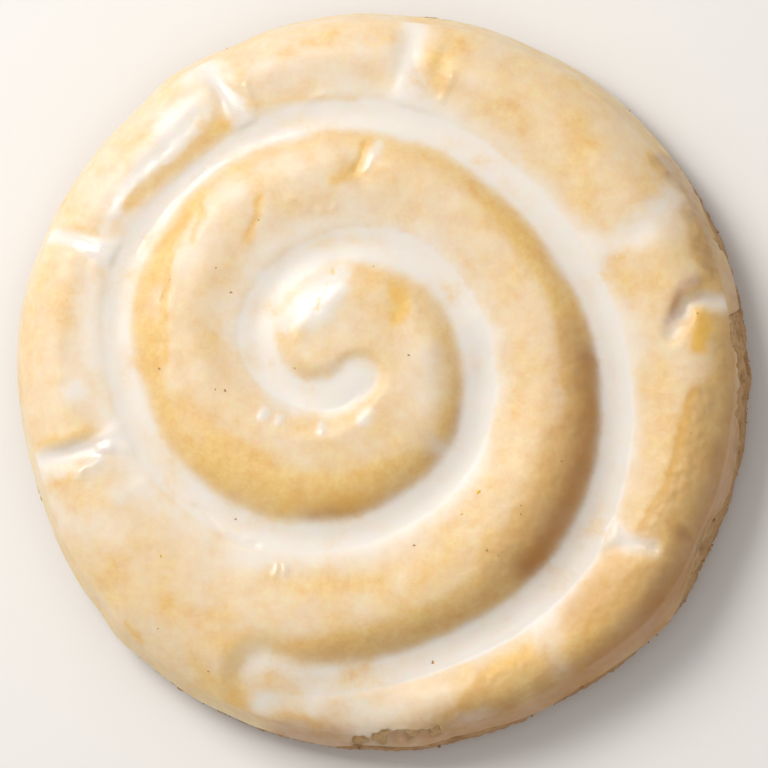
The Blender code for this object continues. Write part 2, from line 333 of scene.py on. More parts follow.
def mesh_object(name, points, faces):
    """A smooth-shaded object from points in millimetres."""
    mesh = bpy.data.meshes.new(name)
    mesh.from_pydata((np.asarray(points) * MM).tolist(), [], faces)
    mesh.shade_smooth()
    made = bpy.data.objects.new(name, mesh)
    bpy.context.scene.collection.objects.link(made)
    return made


def point_normals(thing):
    """Where an object's points are, in millimetres, and which way its surface faces there."""
    count = len(thing.data.vertices)
    points = np.empty(count * 3)
    normals = np.empty(count * 3)
    thing.data.vertices.foreach_get("co", points)
    thing.data.vertices.foreach_get("normal", normals)
    return points.reshape(-1, 3) / MM, normals.reshape(-1, 3)


def move_points(thing, points):
    thing.data.vertices.foreach_set("co", (points * MM).ravel())
    thing.data.update()


def ring_quads(first, rings, around):
    """Faces between neighbouring rings of points, the first of which starts at a point number."""
    faces = []
    for ring in range(rings - 1):
        for step in range(around):
            a = first + ring * around + step
            b = first + ring * around + (step + 1) % around
            faces.append((a, a + around, b + around, b))
    return faces


# Points round the mesh, and its rings over the top, down the wall and under the base
DOUGH_AROUND = 780
DOUGH_TOP_RINGS = 60
DOUGH_WALL_RINGS = 36
DOUGH_BASE_RINGS = 20
DOUGH_CROWDING = (0.3, 3)  # how its rings over the top close up towards the rim: share, power
UNDER_GLAZE = 0.45  # how far the dough's top lies below the glazed surface
BARE_STEP = 0.16  # and how far where no glaze covers it
OUT_ABOVE_LIP = 1.2  # height above the lip over which the wall comes out to its full width
# Unevenness of the baked side, from its lumps to its crumb: size, height
WALL_GRAIN = ((2.6, 0.16), (0.6, 0.15), (0.3, 0.075))
CRUMB_FROM = 27.5  # radius at which that begins
CRUMB_BLEND = 1.5
FOOT_SMOOTH = 0.8  # height over which the tray has pressed it smooth
# Where the glaze has left the dough bare: path, half width
BARE = (
    (((30.0, 4.4), (30.6, 1.0), (30.8, -3.5), (30.4, -8.5)), 1.05),
    (((-1.8, -29.8), (0.6, -29.6), (4.8, -29.2)), 0.24),
)
BARE_RAGGED = ((1.5, 0.4), (0.6, 0.2))  # how ragged the edge there is: size, distance
BARE_BLEND = 0.35
BARE_UNDER = 0.35  # how much further than the hole in the glaze the dough is raised
BARE_CRUMB = 0.2  # and its crumb coarse
# The height at which the glaze ends on the side: mean, waves round it, height and phase of each
LIP_HEIGHT = 3.0
LIP_WAVES = ((3, 0.35, 0.7), (7, 0.25, 2.1), (13, 0.2, 0.0), (31, 0.12, 0.0))
LIP_BELOW_WALL_TOP = 0.9  # it ends at least this far down
# Where it ends higher: direction and reach in degrees, rise
LIP_RISES = (
    (-2.0, 16.0, 1.5),
    (-29.0, 7.0, 2.4),
    (-52.0, 9.0, 0.8),
    (-76.0, 8.0, 1.8),
    (-91.0, 7.0, 1.8),
    (24.0, 6.0, 1.4),
)
# Pits and cracks in the side: direction in degrees, height, half length, half height, depth
WALL_PITS = (
    (-158.0, 2.6, 1.4, 0.35, 0.4),
    (-121.0, 2.2, 2.2, 0.3, 0.4),
    (-101.0, 3.0, 0.6, 0.35, 0.4),
    (-94.0, 3.2, 0.5, 0.4, 0.5),
    (-92.5, 6.0, 0.7, 0.4, 0.55),
    (-90.0, 3.7, 1.3, 0.3, 0.65),
    (-87.0, 5.7, 1.0, 0.5, 0.6),
    (-85.5, 3.4, 0.9, 0.3, 0.5),
    (-82.5, 6.1, 0.6, 0.5, 0.5),
    (-78.0, 3.5, 0.5, 0.5, 0.6),
    (-67.5, 3.9, 1.4, 0.3, 0.6),
    (-52.0, 2.4, 1.1, 0.3, 0.35),
    (-45.0, 3.6, 0.5, 0.4, 0.5),
    (-33.0, 2.2, 1.6, 0.35, 0.4),
    (-31.0, 3.2, 0.5, 0.5, 0.5),
    (-28.0, 4.3, 0.6, 0.7, 0.7),
    (-12.5, 3.4, 0.7, 0.4, 0.45),
    (-10.0, 6.0, 0.6, 0.5, 0.6),
    (-8.2, 4.4, 0.45, 0.6, 0.7),
    (-5.8, 2.6, 1.0, 0.35, 0.5),
    (-3.4, 3.8, 0.6, 0.4, 0.5),
    (-3.0, 6.2, 0.7, 0.5, 0.6),
    (-0.5, 4.6, 0.5, 0.5, 0.6),
    (1.8, 3.3, 0.7, 0.4, 0.5),
    (2.5, 5.9, 0.9, 0.5, 0.55),
    (6.5, 4.2, 0.5, 0.5, 0.5),
    (7.0, 6.3, 0.5, 0.4, 0.5),
    (10.5, 3.0, 0.8, 0.4, 0.4),
    (25.0, 2.6, 1.0, 0.4, 0.4),
    (47.0, 2.3, 2.3, 0.28, 0.45),
    (76.0, 2.7, 0.9, 0.45, 0.4),
    (104.0, 2.1, 2.0, 0.3, 0.45),
    (131.0, 2.5, 1.2, 0.4, 0.4),
    (168.0, 2.2, 2.4, 0.3, 0.45),
)


def lip_height(angle):
    """How high above the tray the glaze ends, all round the side."""
    height = LIP_HEIGHT + 0.0 * angle
    for waves, rise, phase in LIP_WAVES:
        height = height + rise * np.cos(waves * angle + phase)
    return np.minimum(with_bumps(height, angle, LIP_RISES), WALL_TOP - LIP_BELOW_WALL_TOP)


def bareness(x, y, margin):
    """1 where the dough is bare, 0 under the glaze, with a ragged edge a margin further out."""
    inside = np.max([half_width - distance_to_path(x, y, path) for path, half_width in BARE], axis=0)
    ground = np.column_stack([x, y, 0.0 * x])
    ragged = inside + margin + rough(ground, BARE_RAGGED)
    return np.clip(0.5 + ragged / BARE_BLEND, 0.0, 1.0)


def wall_pits(angle, height):
    """How deep the pits and cracks in the side are."""
    depth = 0.0 * angle
    for direction, level, half_length, half_height, deep in WALL_PITS:
        along = turned_from(angle, direction) * MEAN_RADIUS / half_length
        depth = depth + deep * np.exp(-(along**2) - ((height - level) / half_height) ** 2)
    return depth


def crowded(part, share, power):
    """Where a ring lies between the middle, 0, and the edge, 1: the nearer the edge, the closer."""
    return part * (1.0 + share - share * part**power)


around = np.linspace(0.0, 2 * math.pi, DOUGH_AROUND, endpoint=False)
edge = wall_radius(around, WALL_TOP)
dough_points = [(0.0, 0.0, float(dough_top(np.zeros(1), np.zeros(1))[0]) - UNDER_GLAZE)]
for ring in range(1, DOUGH_TOP_RINGS + 1):
    reach = crowded(ring / DOUGH_TOP_RINGS, *DOUGH_CROWDING)
    bare = bareness(edge * reach * np.cos(around), edge * reach * np.sin(around), BARE_UNDER)
    under = UNDER_GLAZE + (BARE_STEP - UNDER_GLAZE) * bare
    x = (edge - under) * reach * np.cos(around)
    y = (edge - under) * reach * np.sin(around)
    z = rounded_rim(x, y, edge - under, dough_top(x, y)) - under
    dough_points.extend(zip(x, y, z))
# The wall goes down from the last ring, as far under the glaze as that, and comes out to its full
# width by the height of the glaze's lip
for ring in range(1, DOUGH_WALL_RINGS + 1):
    height = (WALL_TOP - under) * (1.0 - ring / DOUGH_WALL_RINGS)
    tucked = under * np.clip((height - lip_height(around)) / OUT_ABOVE_LIP, 0.0, 1.0)
    radius = wall_radius(around, height) - tucked
    dough_points.extend(zip(radius * np.cos(around), radius * np.sin(around), height))
foot = wall_radius(around, 0.0)
for ring in range(1, DOUGH_BASE_RINGS):
    radius = foot * (1.0 - ring / DOUGH_BASE_RINGS)
    dough_points.extend(zip(radius * np.cos(around), radius * np.sin(around), 0.0 * around))
dough_points.append((0.0, 0.0, 0.0))
dough_rings = DOUGH_TOP_RINGS + DOUGH_WALL_RINGS + DOUGH_BASE_RINGS - 1
dough_faces = ring_quads(1, dough_rings, DOUGH_AROUND)
last_ring = 1 + (dough_rings - 1) * DOUGH_AROUND
for step in range(DOUGH_AROUND):
    after = (step + 1) % DOUGH_AROUND
    dough_faces.append((0, 1 + step, 1 + after))
    dough_faces.append((len(dough_points) - 1, last_ring + after, last_ring + step))
dough = mesh_object("baked_dough", dough_points, dough_faces)

# The crumb, lumps and pits of the side and of the bare places on top
points, normals = point_normals(dough)
angle = np.arctan2(points[:, 1], points[:, 0])
on_wall = np.clip((np.hypot(points[:, 0], points[:, 1]) - CRUMB_FROM) / CRUMB_BLEND, 0.0, 1.0)
on_wall = np.maximum(on_wall, bareness(points[:, 0], points[:, 1], BARE_CRUMB))
on_wall = on_wall * np.clip(points[:, 2] / FOOT_SMOOTH, 0.0, 1.0)
pits = wall_pits(angle, points[:, 2])
out = on_wall * (rough(points, WALL_GRAIN) - pits)
move_points(dough, points + normals * out[:, None])


def linear(colour):
    """An sRGB hex colour as linear red, green, blue and alpha."""
    parts = [int(colour[start : start + 2], 16) / 255 for start in (1, 3, 5)]
    parts = [part / 12.92 if part <= 0.04045 else ((part + 0.055) / 1.055) ** 2.4 for part in parts]
    return (*parts, 1.0)


def add_node(tree, kind, inputs, **settings):
    """Adds a node with its settings. An input is a value, or another node's output to link."""
    made = tree.nodes.new("ShaderNode" + kind)
    for name, value in settings.items():
        setattr(made, name, value)
    for socket, value in inputs.items():
        if isinstance(value, bpy.types.NodeSocket):
            tree.links.new(value, made.inputs[socket])
        else:
            made.inputs[socket].default_value = value
    return made


def per_metre(size):
    """A texture's scale for a pattern whose features are a size in millimetres."""
    return 1.0 / (size * MM)


# Baked wheat biscuit, broken open by its own rise: a dry golden crumb that scatters light, pitted
# with pores, darkened in the hollows of its crumb by painted shade, and browner towards the tray:
# real browning near the foot, and painted shade further up the side
DOUGH_PALE = linear("#E2C090")
DOUGH_GOLD = linear("#CBA06E")
DOUGH_BROWN = linear("#966B46")
MOTTLE_SIZE = 3.5
CRUMB_SIZE = 0.42
CRUMB_BUMP = 0.12
PORE_SIZE = 0.9
BROWN_BELOW = 6.2  # browner below this: tray browning at the foot, painted shade up the side

baked_crumb = bpy.data.materials.new("baked_wheat_crumb")
baked_crumb.use_nodes = True
tree = baked_crumb.node_tree
shader = tree.nodes["Principled BSDF"]
place = add_node(tree, "TexCoord", {}).outputs["Object"]
mottle = add_node(
    tree, "TexNoise", {"Vector": place, "Scale": per_metre(MOTTLE_SIZE), "Detail": 4.0, "Roughness": 0.6}
)
crumb_noise = add_node(
    tree, "TexNoise", {"Vector": place, "Scale": per_metre(CRUMB_SIZE), "Detail": 3.0, "Roughness": 0.65}
)
pores = add_node(tree, "TexVoronoi", {"Vector": place, "Scale": per_metre(PORE_SIZE)}, feature="F1")
pore_edge = add_node(
    tree,
    "MapRange",
    {"Value": pores.outputs["Distance"], "From Min": 0.05, "From Max": 0.32},
)
up = add_node(tree, "SeparateXYZ", {"Vector": place})
# Browner towards the tray: real browning at the foot, carried up the side as painted shade
tray_browning_and_shade = add_node(
    tree,
    "MapRange",
    {"Value": up.outputs["Z"], "From Max": BROWN_BELOW * MM, "To Min": 1.0, "To Max": 0.0},
)
pale_to_gold = add_node(
    tree,
    "Mix",
    {0: mottle.outputs["Fac"], 6: DOUGH_PALE, 7: DOUGH_GOLD},
    data_type="RGBA",
)
browned_and_shaded = add_node(
    tree,
    "Mix",
    {0: tray_browning_and_shade.outputs["Result"], 6: pale_to_gold.outputs[2], 7: DOUGH_BROWN},
    data_type="RGBA",
)
# Painted shade: brown mixed into the hollows of the crumb
painted_crumb_shade = add_node(
    tree,
    "MapRange",
    {"Value": crumb_noise.outputs["Fac"], "From Min": 0.32, "From Max": 0.56, "To Min": 0.45, "To Max": 0.0},
)
crumb_coloured = add_node(
    tree,
    "Mix",
    {0: painted_crumb_shade.outputs["Result"], 6: browned_and_shaded.outputs[2], 7: DOUGH_BROWN},
    data_type="RGBA",
)
crumb_height = add_node(
    tree, "Math", {0: crumb_noise.outputs["Fac"], 1: pore_edge.outputs["Result"]}, operation="MULTIPLY"
)
crumb_bump = add_node(
    tree, "Bump", {"Height": crumb_height.outputs[0], "Strength": 0.6, "Distance": CRUMB_BUMP * MM}
)
tree.links.new(crumb_coloured.outputs[2], shader.inputs["Base Color"])
tree.links.new(crumb_bump.outputs["Normal"], shader.inputs["Normal"])
shader.inputs["Roughness"].default_value = 0.8
shader.inputs["IOR"].default_value = 1.45
shader.inputs["Specular IOR Level"].default_value = 0.3
shader.inputs["Subsurface Weight"].default_value = 0.25
shader.inputs["Subsurface Radius"].default_value = (1.0, 0.5, 0.2)
shader.inputs["Subsurface Scale"].default_value = 0.5 * MM
dough.data.materials.append(baked_crumb)

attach(dough, "root")
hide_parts("cookie")

# ---- Glaze ---------------------------------------------------------------------------------------
# White sugar glaze, poured over the warm biscuit. It fills the groove and the cuts, lies thin over
# the ridges so that golden dough shows through, and sets with a lip part of the way down the side.

SECTORS = 6
GLAZE_RINGS = 158  # over the top, each with a point more in every sector than the last
GLAZE_CROWDING = (0.09, 6)  # how they close up towards the rim: share, power
GLAZE_WALL_RINGS = 17  # and down the side
POOL_DEPTH = 0.95  # from the groove's floor up to where the pool meets its sides
POOL_FILLET = 0.2  # height over which the pool climbs the dough's flank
OUTER_FILLET = 0.03  # and how much more it climbs the gentle slope on its outer side
POOL_HOLLOW = 0.32  # how much lower the pool's middle has set than its sides
HOLLOW_WIDTH = 1.5
HOLLOW_BEGINS = 5.0  # how far from the groove's ends
LEVELLED = 0.9  # how far the glaze settled level across the sloping groove before it set
LEVELLED_WIDTH = 3.2
FOOT_DEPTH = 0.05  # more glaze at the foot of a slope, where it ran to
FOOT_REACH = 0.9
COAT = 0.125  # thickness on level ground
COAT_SLOPE = 0.6  # the slope at which half of it has run off
SLOPE_STEP = 0.15  # how far to each side a slope is measured
THINNEST_COAT = 0.02
SIDE_COAT = 1.2  # the coat on the side, as a part of that on the top
SIDE_THINNING = 0.9  # and how much thinner towards the lower right: part run off, part painted shade
THINNING_TOWARDS = -35.0  # that direction in degrees
LIP_CURVE = 0.9  # how the rings on the side are spread: less than 1 moves them down
LIP_THICKNESS = 0.12  # how far it stands out over the rest of the coat
LIP_SWELL = 0.78  # where it is thickest, as a part of the rings down the side
LIP_SWELL_REACH = 0.2
LIP_TUCK = 0.35  # how far its edge turns in against the dough
LIP_TUCK_FROM = 0.8  # and where that begins, as a part of the rings too
CUT_FILLED_FROM = 1.0  # how far below the pool's shore the filling of a cut begins
STRAYING = ((1.7, 0.32), (0.6, 0.14))  # how strokes stray at random: size, distance
OTHER_PLACE = 40.0  # far enough off for the noise to be unrelated
ROLLING = ((5.0, 0.07), (1.9, 0.035))  # soft unevenness everywhere: size, height
ROLLING_LEFT = 0.15  # the part of it that is left where the glaze is deep
LEVEL_DEPTH = 1.2  # the depth at which it has flowed level
COAT_CRUMB = ((0.75, 1.0), (0.42, 0.6))  # crumb that shows through: size, amount
THIN_COAT = 0.12  # the depth that levels about two thirds of it
THIN_CRUMB = 0.035  # how high it stands where the coat is thin
COARSE_CRUMB = 0.065  # and where it is coarse
BARE_TUCK = 0.8  # how far the coat turns in where the dough is bare
AXIS_GAP = 0.001  # keeps the point in the middle from a division by 0

# Marks that show in more than one of the ways below
KNOB_FACET_TOP = ((-2.8, 8.3), (-3.7, 6.9))
KNOB_FACET = ((-3.7, 6.9), (-5.4, 5.4))
KNOB_FACET_FOOT = ((-5.4, 5.4), (-7.1, 4.3))
KNOB_SCAR_TOP = ((-3.3, 8.5), (-3.1, 8.3))
KNOB_SCAR = ((-3.7, 7.3), (-4.0, 6.5))
KNOB_SCAR_FOOT = ((-4.4, 5.9), (-4.7, 5.2))
FIRST_DROP = ((-8.8, -3.2), (-9.0, -3.6))
SECOND_DROP = ((-7.5, -3.5), (-7.7, -4.0))
THIRD_DROP = ((-4.0, -4.1), (-4.1, -4.7))
LAST_DROP = ((-0.8, -3.9), (-0.4, -3.4))
ROPE_FOLD = ((0.5, 18.9), (-0.1, 17.6), (-0.6, 16.5))
TOP_DRIP = ((-10.5, 24.0), (-10.3, 22.8), (-9.8, 22.3))
RAGGED_EDGE = ((23.4, 17.6), (25.3, 15.4), (26.2, 13.4))
RAGGED_EDGE_LOW = ((26.2, 13.4), (26.9, 11.0), (27.6, 8.6))
RIGHT_CREASE = ((26.1, -1.8), (25.3, -4.3), (25.1, -6.0), (24.2, -8.5), (23.0, -10.8), (21.8, -12.8))
GOLDEN_SHOULDER = ((16.8, -19.4), (20.6, -17.2))

# Ridges, hollows, drops and wrinkles: path, half width, height
RELIEF = (
    # Knob and inner turn
    (((-7.0, 4.4), (-5.3, 7.0), (-3.1, 9.0)), 0.8, -0.09),
    (((7.4, 3.6), (7.6, 0.6)), 1.5, 0.2),
    (((-2.5, 7.4), (-3.5, 5.7), (-5.1, 4.3), (-6.4, 3.4)), 1.0, 0.1),
    (KNOB_SCAR_TOP, 0.22, -0.06),
    (KNOB_SCAR, 0.24, -0.07),
    (KNOB_SCAR_FOOT, 0.24, -0.06),
    (THIRD_DROP, 0.35, 0.1),
    (LAST_DROP, 0.4, 0.03),
    (((1.9, 6.9), (2.4, 5.7), (2.2, 4.2)), 0.6, -0.03),
    (((3.2, 6.0),), 0.25, 0.08),
    (((3.7, 5.1),), 0.25, 0.08),
    # Middle turn
    (ROPE_FOLD, 0.32, 0.08),
    (((-0.5, 18.9), (-1.1, 17.8), (-1.5, 16.6)), 0.3, -0.14),
    (((-6.7, 14.4), (-5.4, 13.6)), 0.35, 0.08),
    (((-4.4, 13.4),), 0.35, 0.1),
    (((-3.2, 13.6),), 0.3, 0.08),
    (((-8.8, -3.1), (-9.0, -3.6)), 0.3, 0.09),
    (SECOND_DROP, 0.28, 0.08),
    (((-9.3, 14.2), (-9.8, 12.6), (-10.2, 11.2)), 0.3, -0.07),
    (((-14.1, 13.3), (-14.6, 12.0), (-14.8, 11.0)), 0.3, -0.08),
    (((-16.6, 9.6), (-17.0, 7.9), (-17.1, 6.0)), 0.3, -0.1),
    (((-17.1, 6.0), (-17.3, 3.9), (-17.1, 1.4)), 0.45, -0.06),
    # Outer groove
    (((-14.6, -10.6), (-12.5, -12.9), (-10.8, -13.6), (-9.8, -14.0)), 0.25, -0.09),
    # Outer turn, top
    (((6.5, 24.4), (6.1, 23.5), (5.6, 22.5)), 0.25, 0.07),
    (((5.6, 25.0), (5.2, 23.2)), 0.5, -0.05),
    (TOP_DRIP, 0.25, 0.08),
    (((-5.6, 22.6), (-4.3, 23.0)), 0.3, 0.08),
    # Outer turn, right
    (RIGHT_CREASE, 0.5, -0.05),
    (((25.6, 5.0), (25.2, 4.0)), 0.35, 0.12),
    (((26.2, 4.6), (26.5, 3.6)), 0.9, 0.06),
    (RAGGED_EDGE, 0.45, -0.12),
    (RAGGED_EDGE_LOW, 0.7, -0.3),
    (((27.8, 10.9),), 0.35, 0.12),
    (((27.6, 8.4), (28.1, 9.3)), 0.3, 0.12),
    # Outer turn, lower right
    (((22.3, -14.0), (23.6, -14.3)), 0.35, 0.1),
    (((25.2, -13.4), (26.4, -14.2)), 0.35, -0.3),
    (((26.0, -16.5),), 0.35, -0.25),
    (((27.6, -15.5),), 0.5, -0.2),
    # Outer turn, bottom
    (((-2.0, -28.4), (4.0, -27.8)), 2.0, -0.15),
    (((10.3, -28.9), (12.6, -28.4)), 0.3, -0.15),
    (((5.9, -28.7),), 0.4, -0.15),
    # Outer turn, lower left
    (((-7.9, -15.9), (-8.1, -16.4)), 0.22, 0.09),
    (((-7.3, -15.9), (-7.4, -16.4)), 0.22, 0.09),
    (((-21.3, -9.9), (-20.0, -9.4), (-18.8, -8.7)), 0.6, 0.04),
    # Outer turn, left
    (((-22.6, -5.9), (-21.8, -5.7)), 0.4, 0.16),
    (((-22.7, -7.0), (-23.3, -7.6), (-24.1, -8.0)), 0.4, 0.12),
    (((-27.8, -5.3), (-25.6, -4.9), (-23.4, -4.4)), 0.6, 0.05),
    (((-23.0, 9.1), (-22.7, 7.2)), 0.5, 0.08),
    # Outer turn, upper left
    (((-13.7, 21.2), (-14.3, 20.7), (-16.8, 18.3), (-19.7, 15.4), (-21.5, 13.5)), 0.7, 0.09),
    (((-12.6, 20.2), (-16.1, 17.0), (-20.0, 13.9)), 0.6, -0.05),
    (((-22.8, 10.2), (-22.0, 9.8)), 0.4, 0.12),
)
# Where the coat is thicker, or thinner and so more golden: path, half width, change
COAT_STROKES = (
    # All over: a painted shade on the lower right, where the coat is thinner and more golden, and a
    # painted light on the upper left, where it is thicker and whiter
    (((14.0, -16.0),), 16.0, -0.02),
    (((-14.0, 15.0),), 12.0, 0.015),
    # Knob and inner turn
    # The knob's wet facet: thick white glaze, its whiteness in part a painted highlight
    (KNOB_FACET, 1.3, 1.0),
    (KNOB_FACET_TOP, 0.8, 0.7),
    (KNOB_FACET_FOOT, 0.9, 0.8),
    (((-4.5, 1.5),), 3.0, 0.04),
    # White drops of glaze, whitened in part as painted highlights for their glints
    (((-4.0, -4.2), (-4.1, -4.7)), 0.4, 0.5),
    (LAST_DROP, 0.4, 0.45),
    (((5.2, 3.0), (4.6, -1.6)), 1.6, 0.09),
    (((7.4, -2.6), (6.4, -6.4), (4.2, -9.2), (0.0, -11.0), (-6.0, -11.4)), 0.9, -0.13),
    (((3.0, -8.2), (-2.5, -9.4), (-8.0, -8.8), (-12.0, -6.6)), 1.4, -0.13),
    (((2.0, 6.8), (2.4, 5.6), (2.2, 4.2)), 0.6, -0.2),
    (KNOB_SCAR, 0.26, -1.4),
    (KNOB_SCAR_TOP, 0.22, -0.9),
    (KNOB_SCAR_FOOT, 0.26, -1.3),
    (((5.5, -6.5), (7.9, -6.4)), 0.9, 0.2),
    # Middle turn
    (((-10.8, 19.0), (-6.3, 20.0)), 0.5, 0.12),
    # Drops and the fold on the rope's top, whitened in part as painted highlights
    (FIRST_DROP, 0.35, 0.45),
    (((-7.5, -3.6), (-7.7, -4.0)), 0.3, 0.4),
    (((0.5, 18.9), (-0.1, 17.7), (-0.5, 16.8)), 0.35, 0.2),
    (((15.0, -5.5), (14.0, -9.4), (12.0, -12.8), (9.4, -15.4)), 1.6, -0.09),
    # Thicker, paler coat along the rope's upper left shoulder, in part a painted sheen
    (((-15.8, 9.0), (-14.0, 13.0), (-10.8, 16.0), (-7.0, 17.8), (-2.6, 18.4)), 1.1, 0.1),
    (((-17.9, 8.4), (-16.9, 11.6), (-14.4, 14.6)), 0.8, -0.12),
    (((-18.5, 3.4), (-18.3, -1.5), (-16.9, -4.7), (-14.0, -7.8), (-10.0, -10.1)), 1.0, -0.12),
    (((-9.0, -16.5), (-4.0, -17.5), (0.5, -17.0)), 1.1, -0.08),
    (((17.4, 5.6), (17.4, 0.0), (17.0, -5.2), (15.6, -10.0), (12.8, -13.8)), 1.5, -0.13),
    (((9.9, -17.6), (4.0, -20.8), (-1.8, -22.0), (-6.4, -23.0)), 1.2, -0.08),
    (((9.5, -13.3), (10.1, -15.0)), 0.6, -0.12),
    (((8.7, 14.8), (11.6, 12.0), (15.3, 5.9), (16.0, -0.7)), 0.9, -0.08),
    (((-0.6, 18.8), (-1.1, 17.8), (-1.5, 16.6)), 0.4, -0.16),
    (((-3.2, 15.8), (-1.8, 16.4)), 0.6, -0.12),
    (((-6.9, 13.6), (-3.5, 14.4)), 0.9, -0.06),
    (((-9.3, 14.3), (-9.8, 12.6), (-10.2, 11.0)), 0.4, -0.16),
    (((-14.1, 13.4), (-14.6, 12.0), (-14.8, 10.8)), 0.35, -0.16),
    (((-16.6, 9.7), (-17.0, 7.9), (-17.1, 6.0), (-17.3, 3.9), (-17.1, 1.4)), 0.35, -0.16),
    (((-15.5, -2.0), (-13.0, -5.5), (-9.0, -7.6)), 1.1, -0.07),
    # Outer groove
    (((-9.6, 20.6), (-4.0, 21.4), (0.5, 21.4)), 0.7, -0.1),
    # Outer turn, top
    (((-11.0, 25.6), (-4.6, 26.6), (1.5, 26.6)), 1.6, 0.07),
    (((-10.3, 22.0), (-8.4, 22.3), (-5.9, 22.9), (-4.0, 23.2)), 0.8, -0.35),
    (((6.1, 28.1), (7.2, 27.3)), 0.9, -0.08),
    (((4.5, 25.8), (5.0, 23.4)), 1.0, -0.11),
    # Outer turn, upper right
    (((15.4, 20.6), (16.8, 19.8), (17.6, 18.9)), 1.2, -0.07),
    (((12.8, 16.9), (14.2, 16.0), (15.2, 14.6)), 1.2, -0.07),
    (((16.6, 17.6), (17.4, 15.4), (16.8, 13.2)), 1.3, -0.07),
    (((23.0, 18.0), (24.2, 16.4)), 0.7, -0.16),
    # Outer turn, right
    (((22.4, 6.6), (24.6, 9.4)), 1.6, -0.06),
    (((21.5, 5.8), (20.8, 2.0)), 1.5, 0.06),
    (RAGGED_EDGE, 0.7, -0.2),
    (RAGGED_EDGE_LOW, 0.95, -0.25),
    (((18.4, 9.6), (21.6, 11.6), (23.8, 14.1)), 1.1, 0.16),
    (((26.3, 5.0), (26.8, 3.7), (26.4, 2.0)), 0.6, -0.2),
    (RIGHT_CREASE, 0.45, -0.16),
    (((27.1, -1.9), (26.4, -5.2), (25.6, -8.3), (24.3, -10.9), (22.9, -12.9)), 1.0, -0.13),
    (((28.3, 7.0), (28.9, 2.0), (28.6, -4.0), (27.3, -9.5), (25.0, -14.3)), 1.3, -0.13),
    # Outer turn, lower right
    (GOLDEN_SHOULDER, 1.8, -0.1),
    (((14.8, -20.6), (17.5, -18.9), (20.4, -16.3)), 0.9, -0.2),
    (((25.0, -15.0), (21.5, -19.4), (17.0, -23.2), (11.0, -26.4)), 1.8, -0.13),
    (((16.0, -20.0), (18.4, -17.9), (21.5, -16.6)), 1.4, -0.13),
    # Outer turn, bottom
    (((8.4, -25.8), (9.9, -24.0), (12.3, -23.0)), 0.6, -0.18),
    (((7.8, -26.8), (11.9, -25.8), (14.8, -24.6)), 0.6, -0.14),
    (((-7.0, -26.4), (-2.9, -27.0), (2.2, -26.6), (5.0, -25.7)), 1.6, 0.2),
    (((5.0, -28.4), (7.6, -26.6), (8.8, -25.2)), 0.8, -0.1),
    (((-9.3, -26.3), (-9.1, -27.2)), 0.5, 0.2),
    (((-10.9, -24.2), (-8.6, -23.3), (-5.0, -23.2)), 0.6, -0.2),
    (((-8.7, -26.9), (-6.9, -27.8), (-4.5, -28.3)), 0.5, -0.14),
    (((-1.4, -26.2), (1.1, -26.6)), 0.6, -0.12),
    # Outer turn, lower left
    (((-21.3, -9.9), (-20.0, -9.4), (-18.9, -8.7)), 0.8, 0.15),
    (((-22.6, -16.8), (-21.6, -18.0), (-20.6, -18.4)), 1.0, -0.07),
    (((-20.6, -20.3), (-19.4, -21.7)), 0.4, -0.1),
    (((-17.6, -17.6), (-16.4, -19.6)), 0.9, -0.05),
    (((-14.9, -23.6), (-13.2, -25.0)), 0.7, -0.08),
    (((-13.6, -21.6), (-11.8, -21.9), (-10.2, -21.2)), 0.7, -0.07),
    # Outer turn, left
    (((-26.4, -10.3), (-23.0, -12.4)), 1.6, 0.12),
    (((-22.9, 9.0), (-22.6, 6.8)), 0.6, -0.15),
    (((-24.6, -1.2),), 0.9, 0.4),
    (((-27.6, -5.4), (-25.6, -5.0), (-23.3, -4.5)), 0.5, -0.14),
    (((-27.8, -7.6), (-25.4, -7.6)), 0.8, 0.3),
    (((-26.5, -8.8), (-25.3, -8.2)), 0.6, -0.15),
    (((-22.5, -6.0), (-22.7, -7.0), (-24.0, -8.0)), 0.7, 0.3),
    # Outer turn, upper left
    # The facet of the upper left segment: thick white glaze, its whiteness in part a painted sheen
    (((-15.3, 21.5), (-16.3, 20.5)), 1.4, 0.7),
    (((-16.3, 20.5), (-18.7, 17.5)), 0.9, 0.6),
    (((-18.7, 17.5), (-21.2, 14.2)), 0.5, 0.45),
    (((-21.2, 14.2), (-22.4, 12.0)), 0.45, 0.35),
    (((-1.0, 26.8), (-12.0, 26.6), (-22.0, 18.6), (-27.0, 6.0)), 2.6, 0.035),
    (((-12.8, 20.4), (-16.4, 17.2), (-20.4, 14.0)), 0.75, -0.4),
    (((-21.7, 13.0), (-20.7, 11.1)), 0.7, -0.15),
    (((-24.4, 12.2), (-22.3, 11.4)), 0.4, -0.15),
    (((-14.9, 22.5),), 0.7, -0.12),
    (((-15.3, 25.1), (-14.3, 25.6), (-13.1, 25.1)), 1.0, 0.4),
)
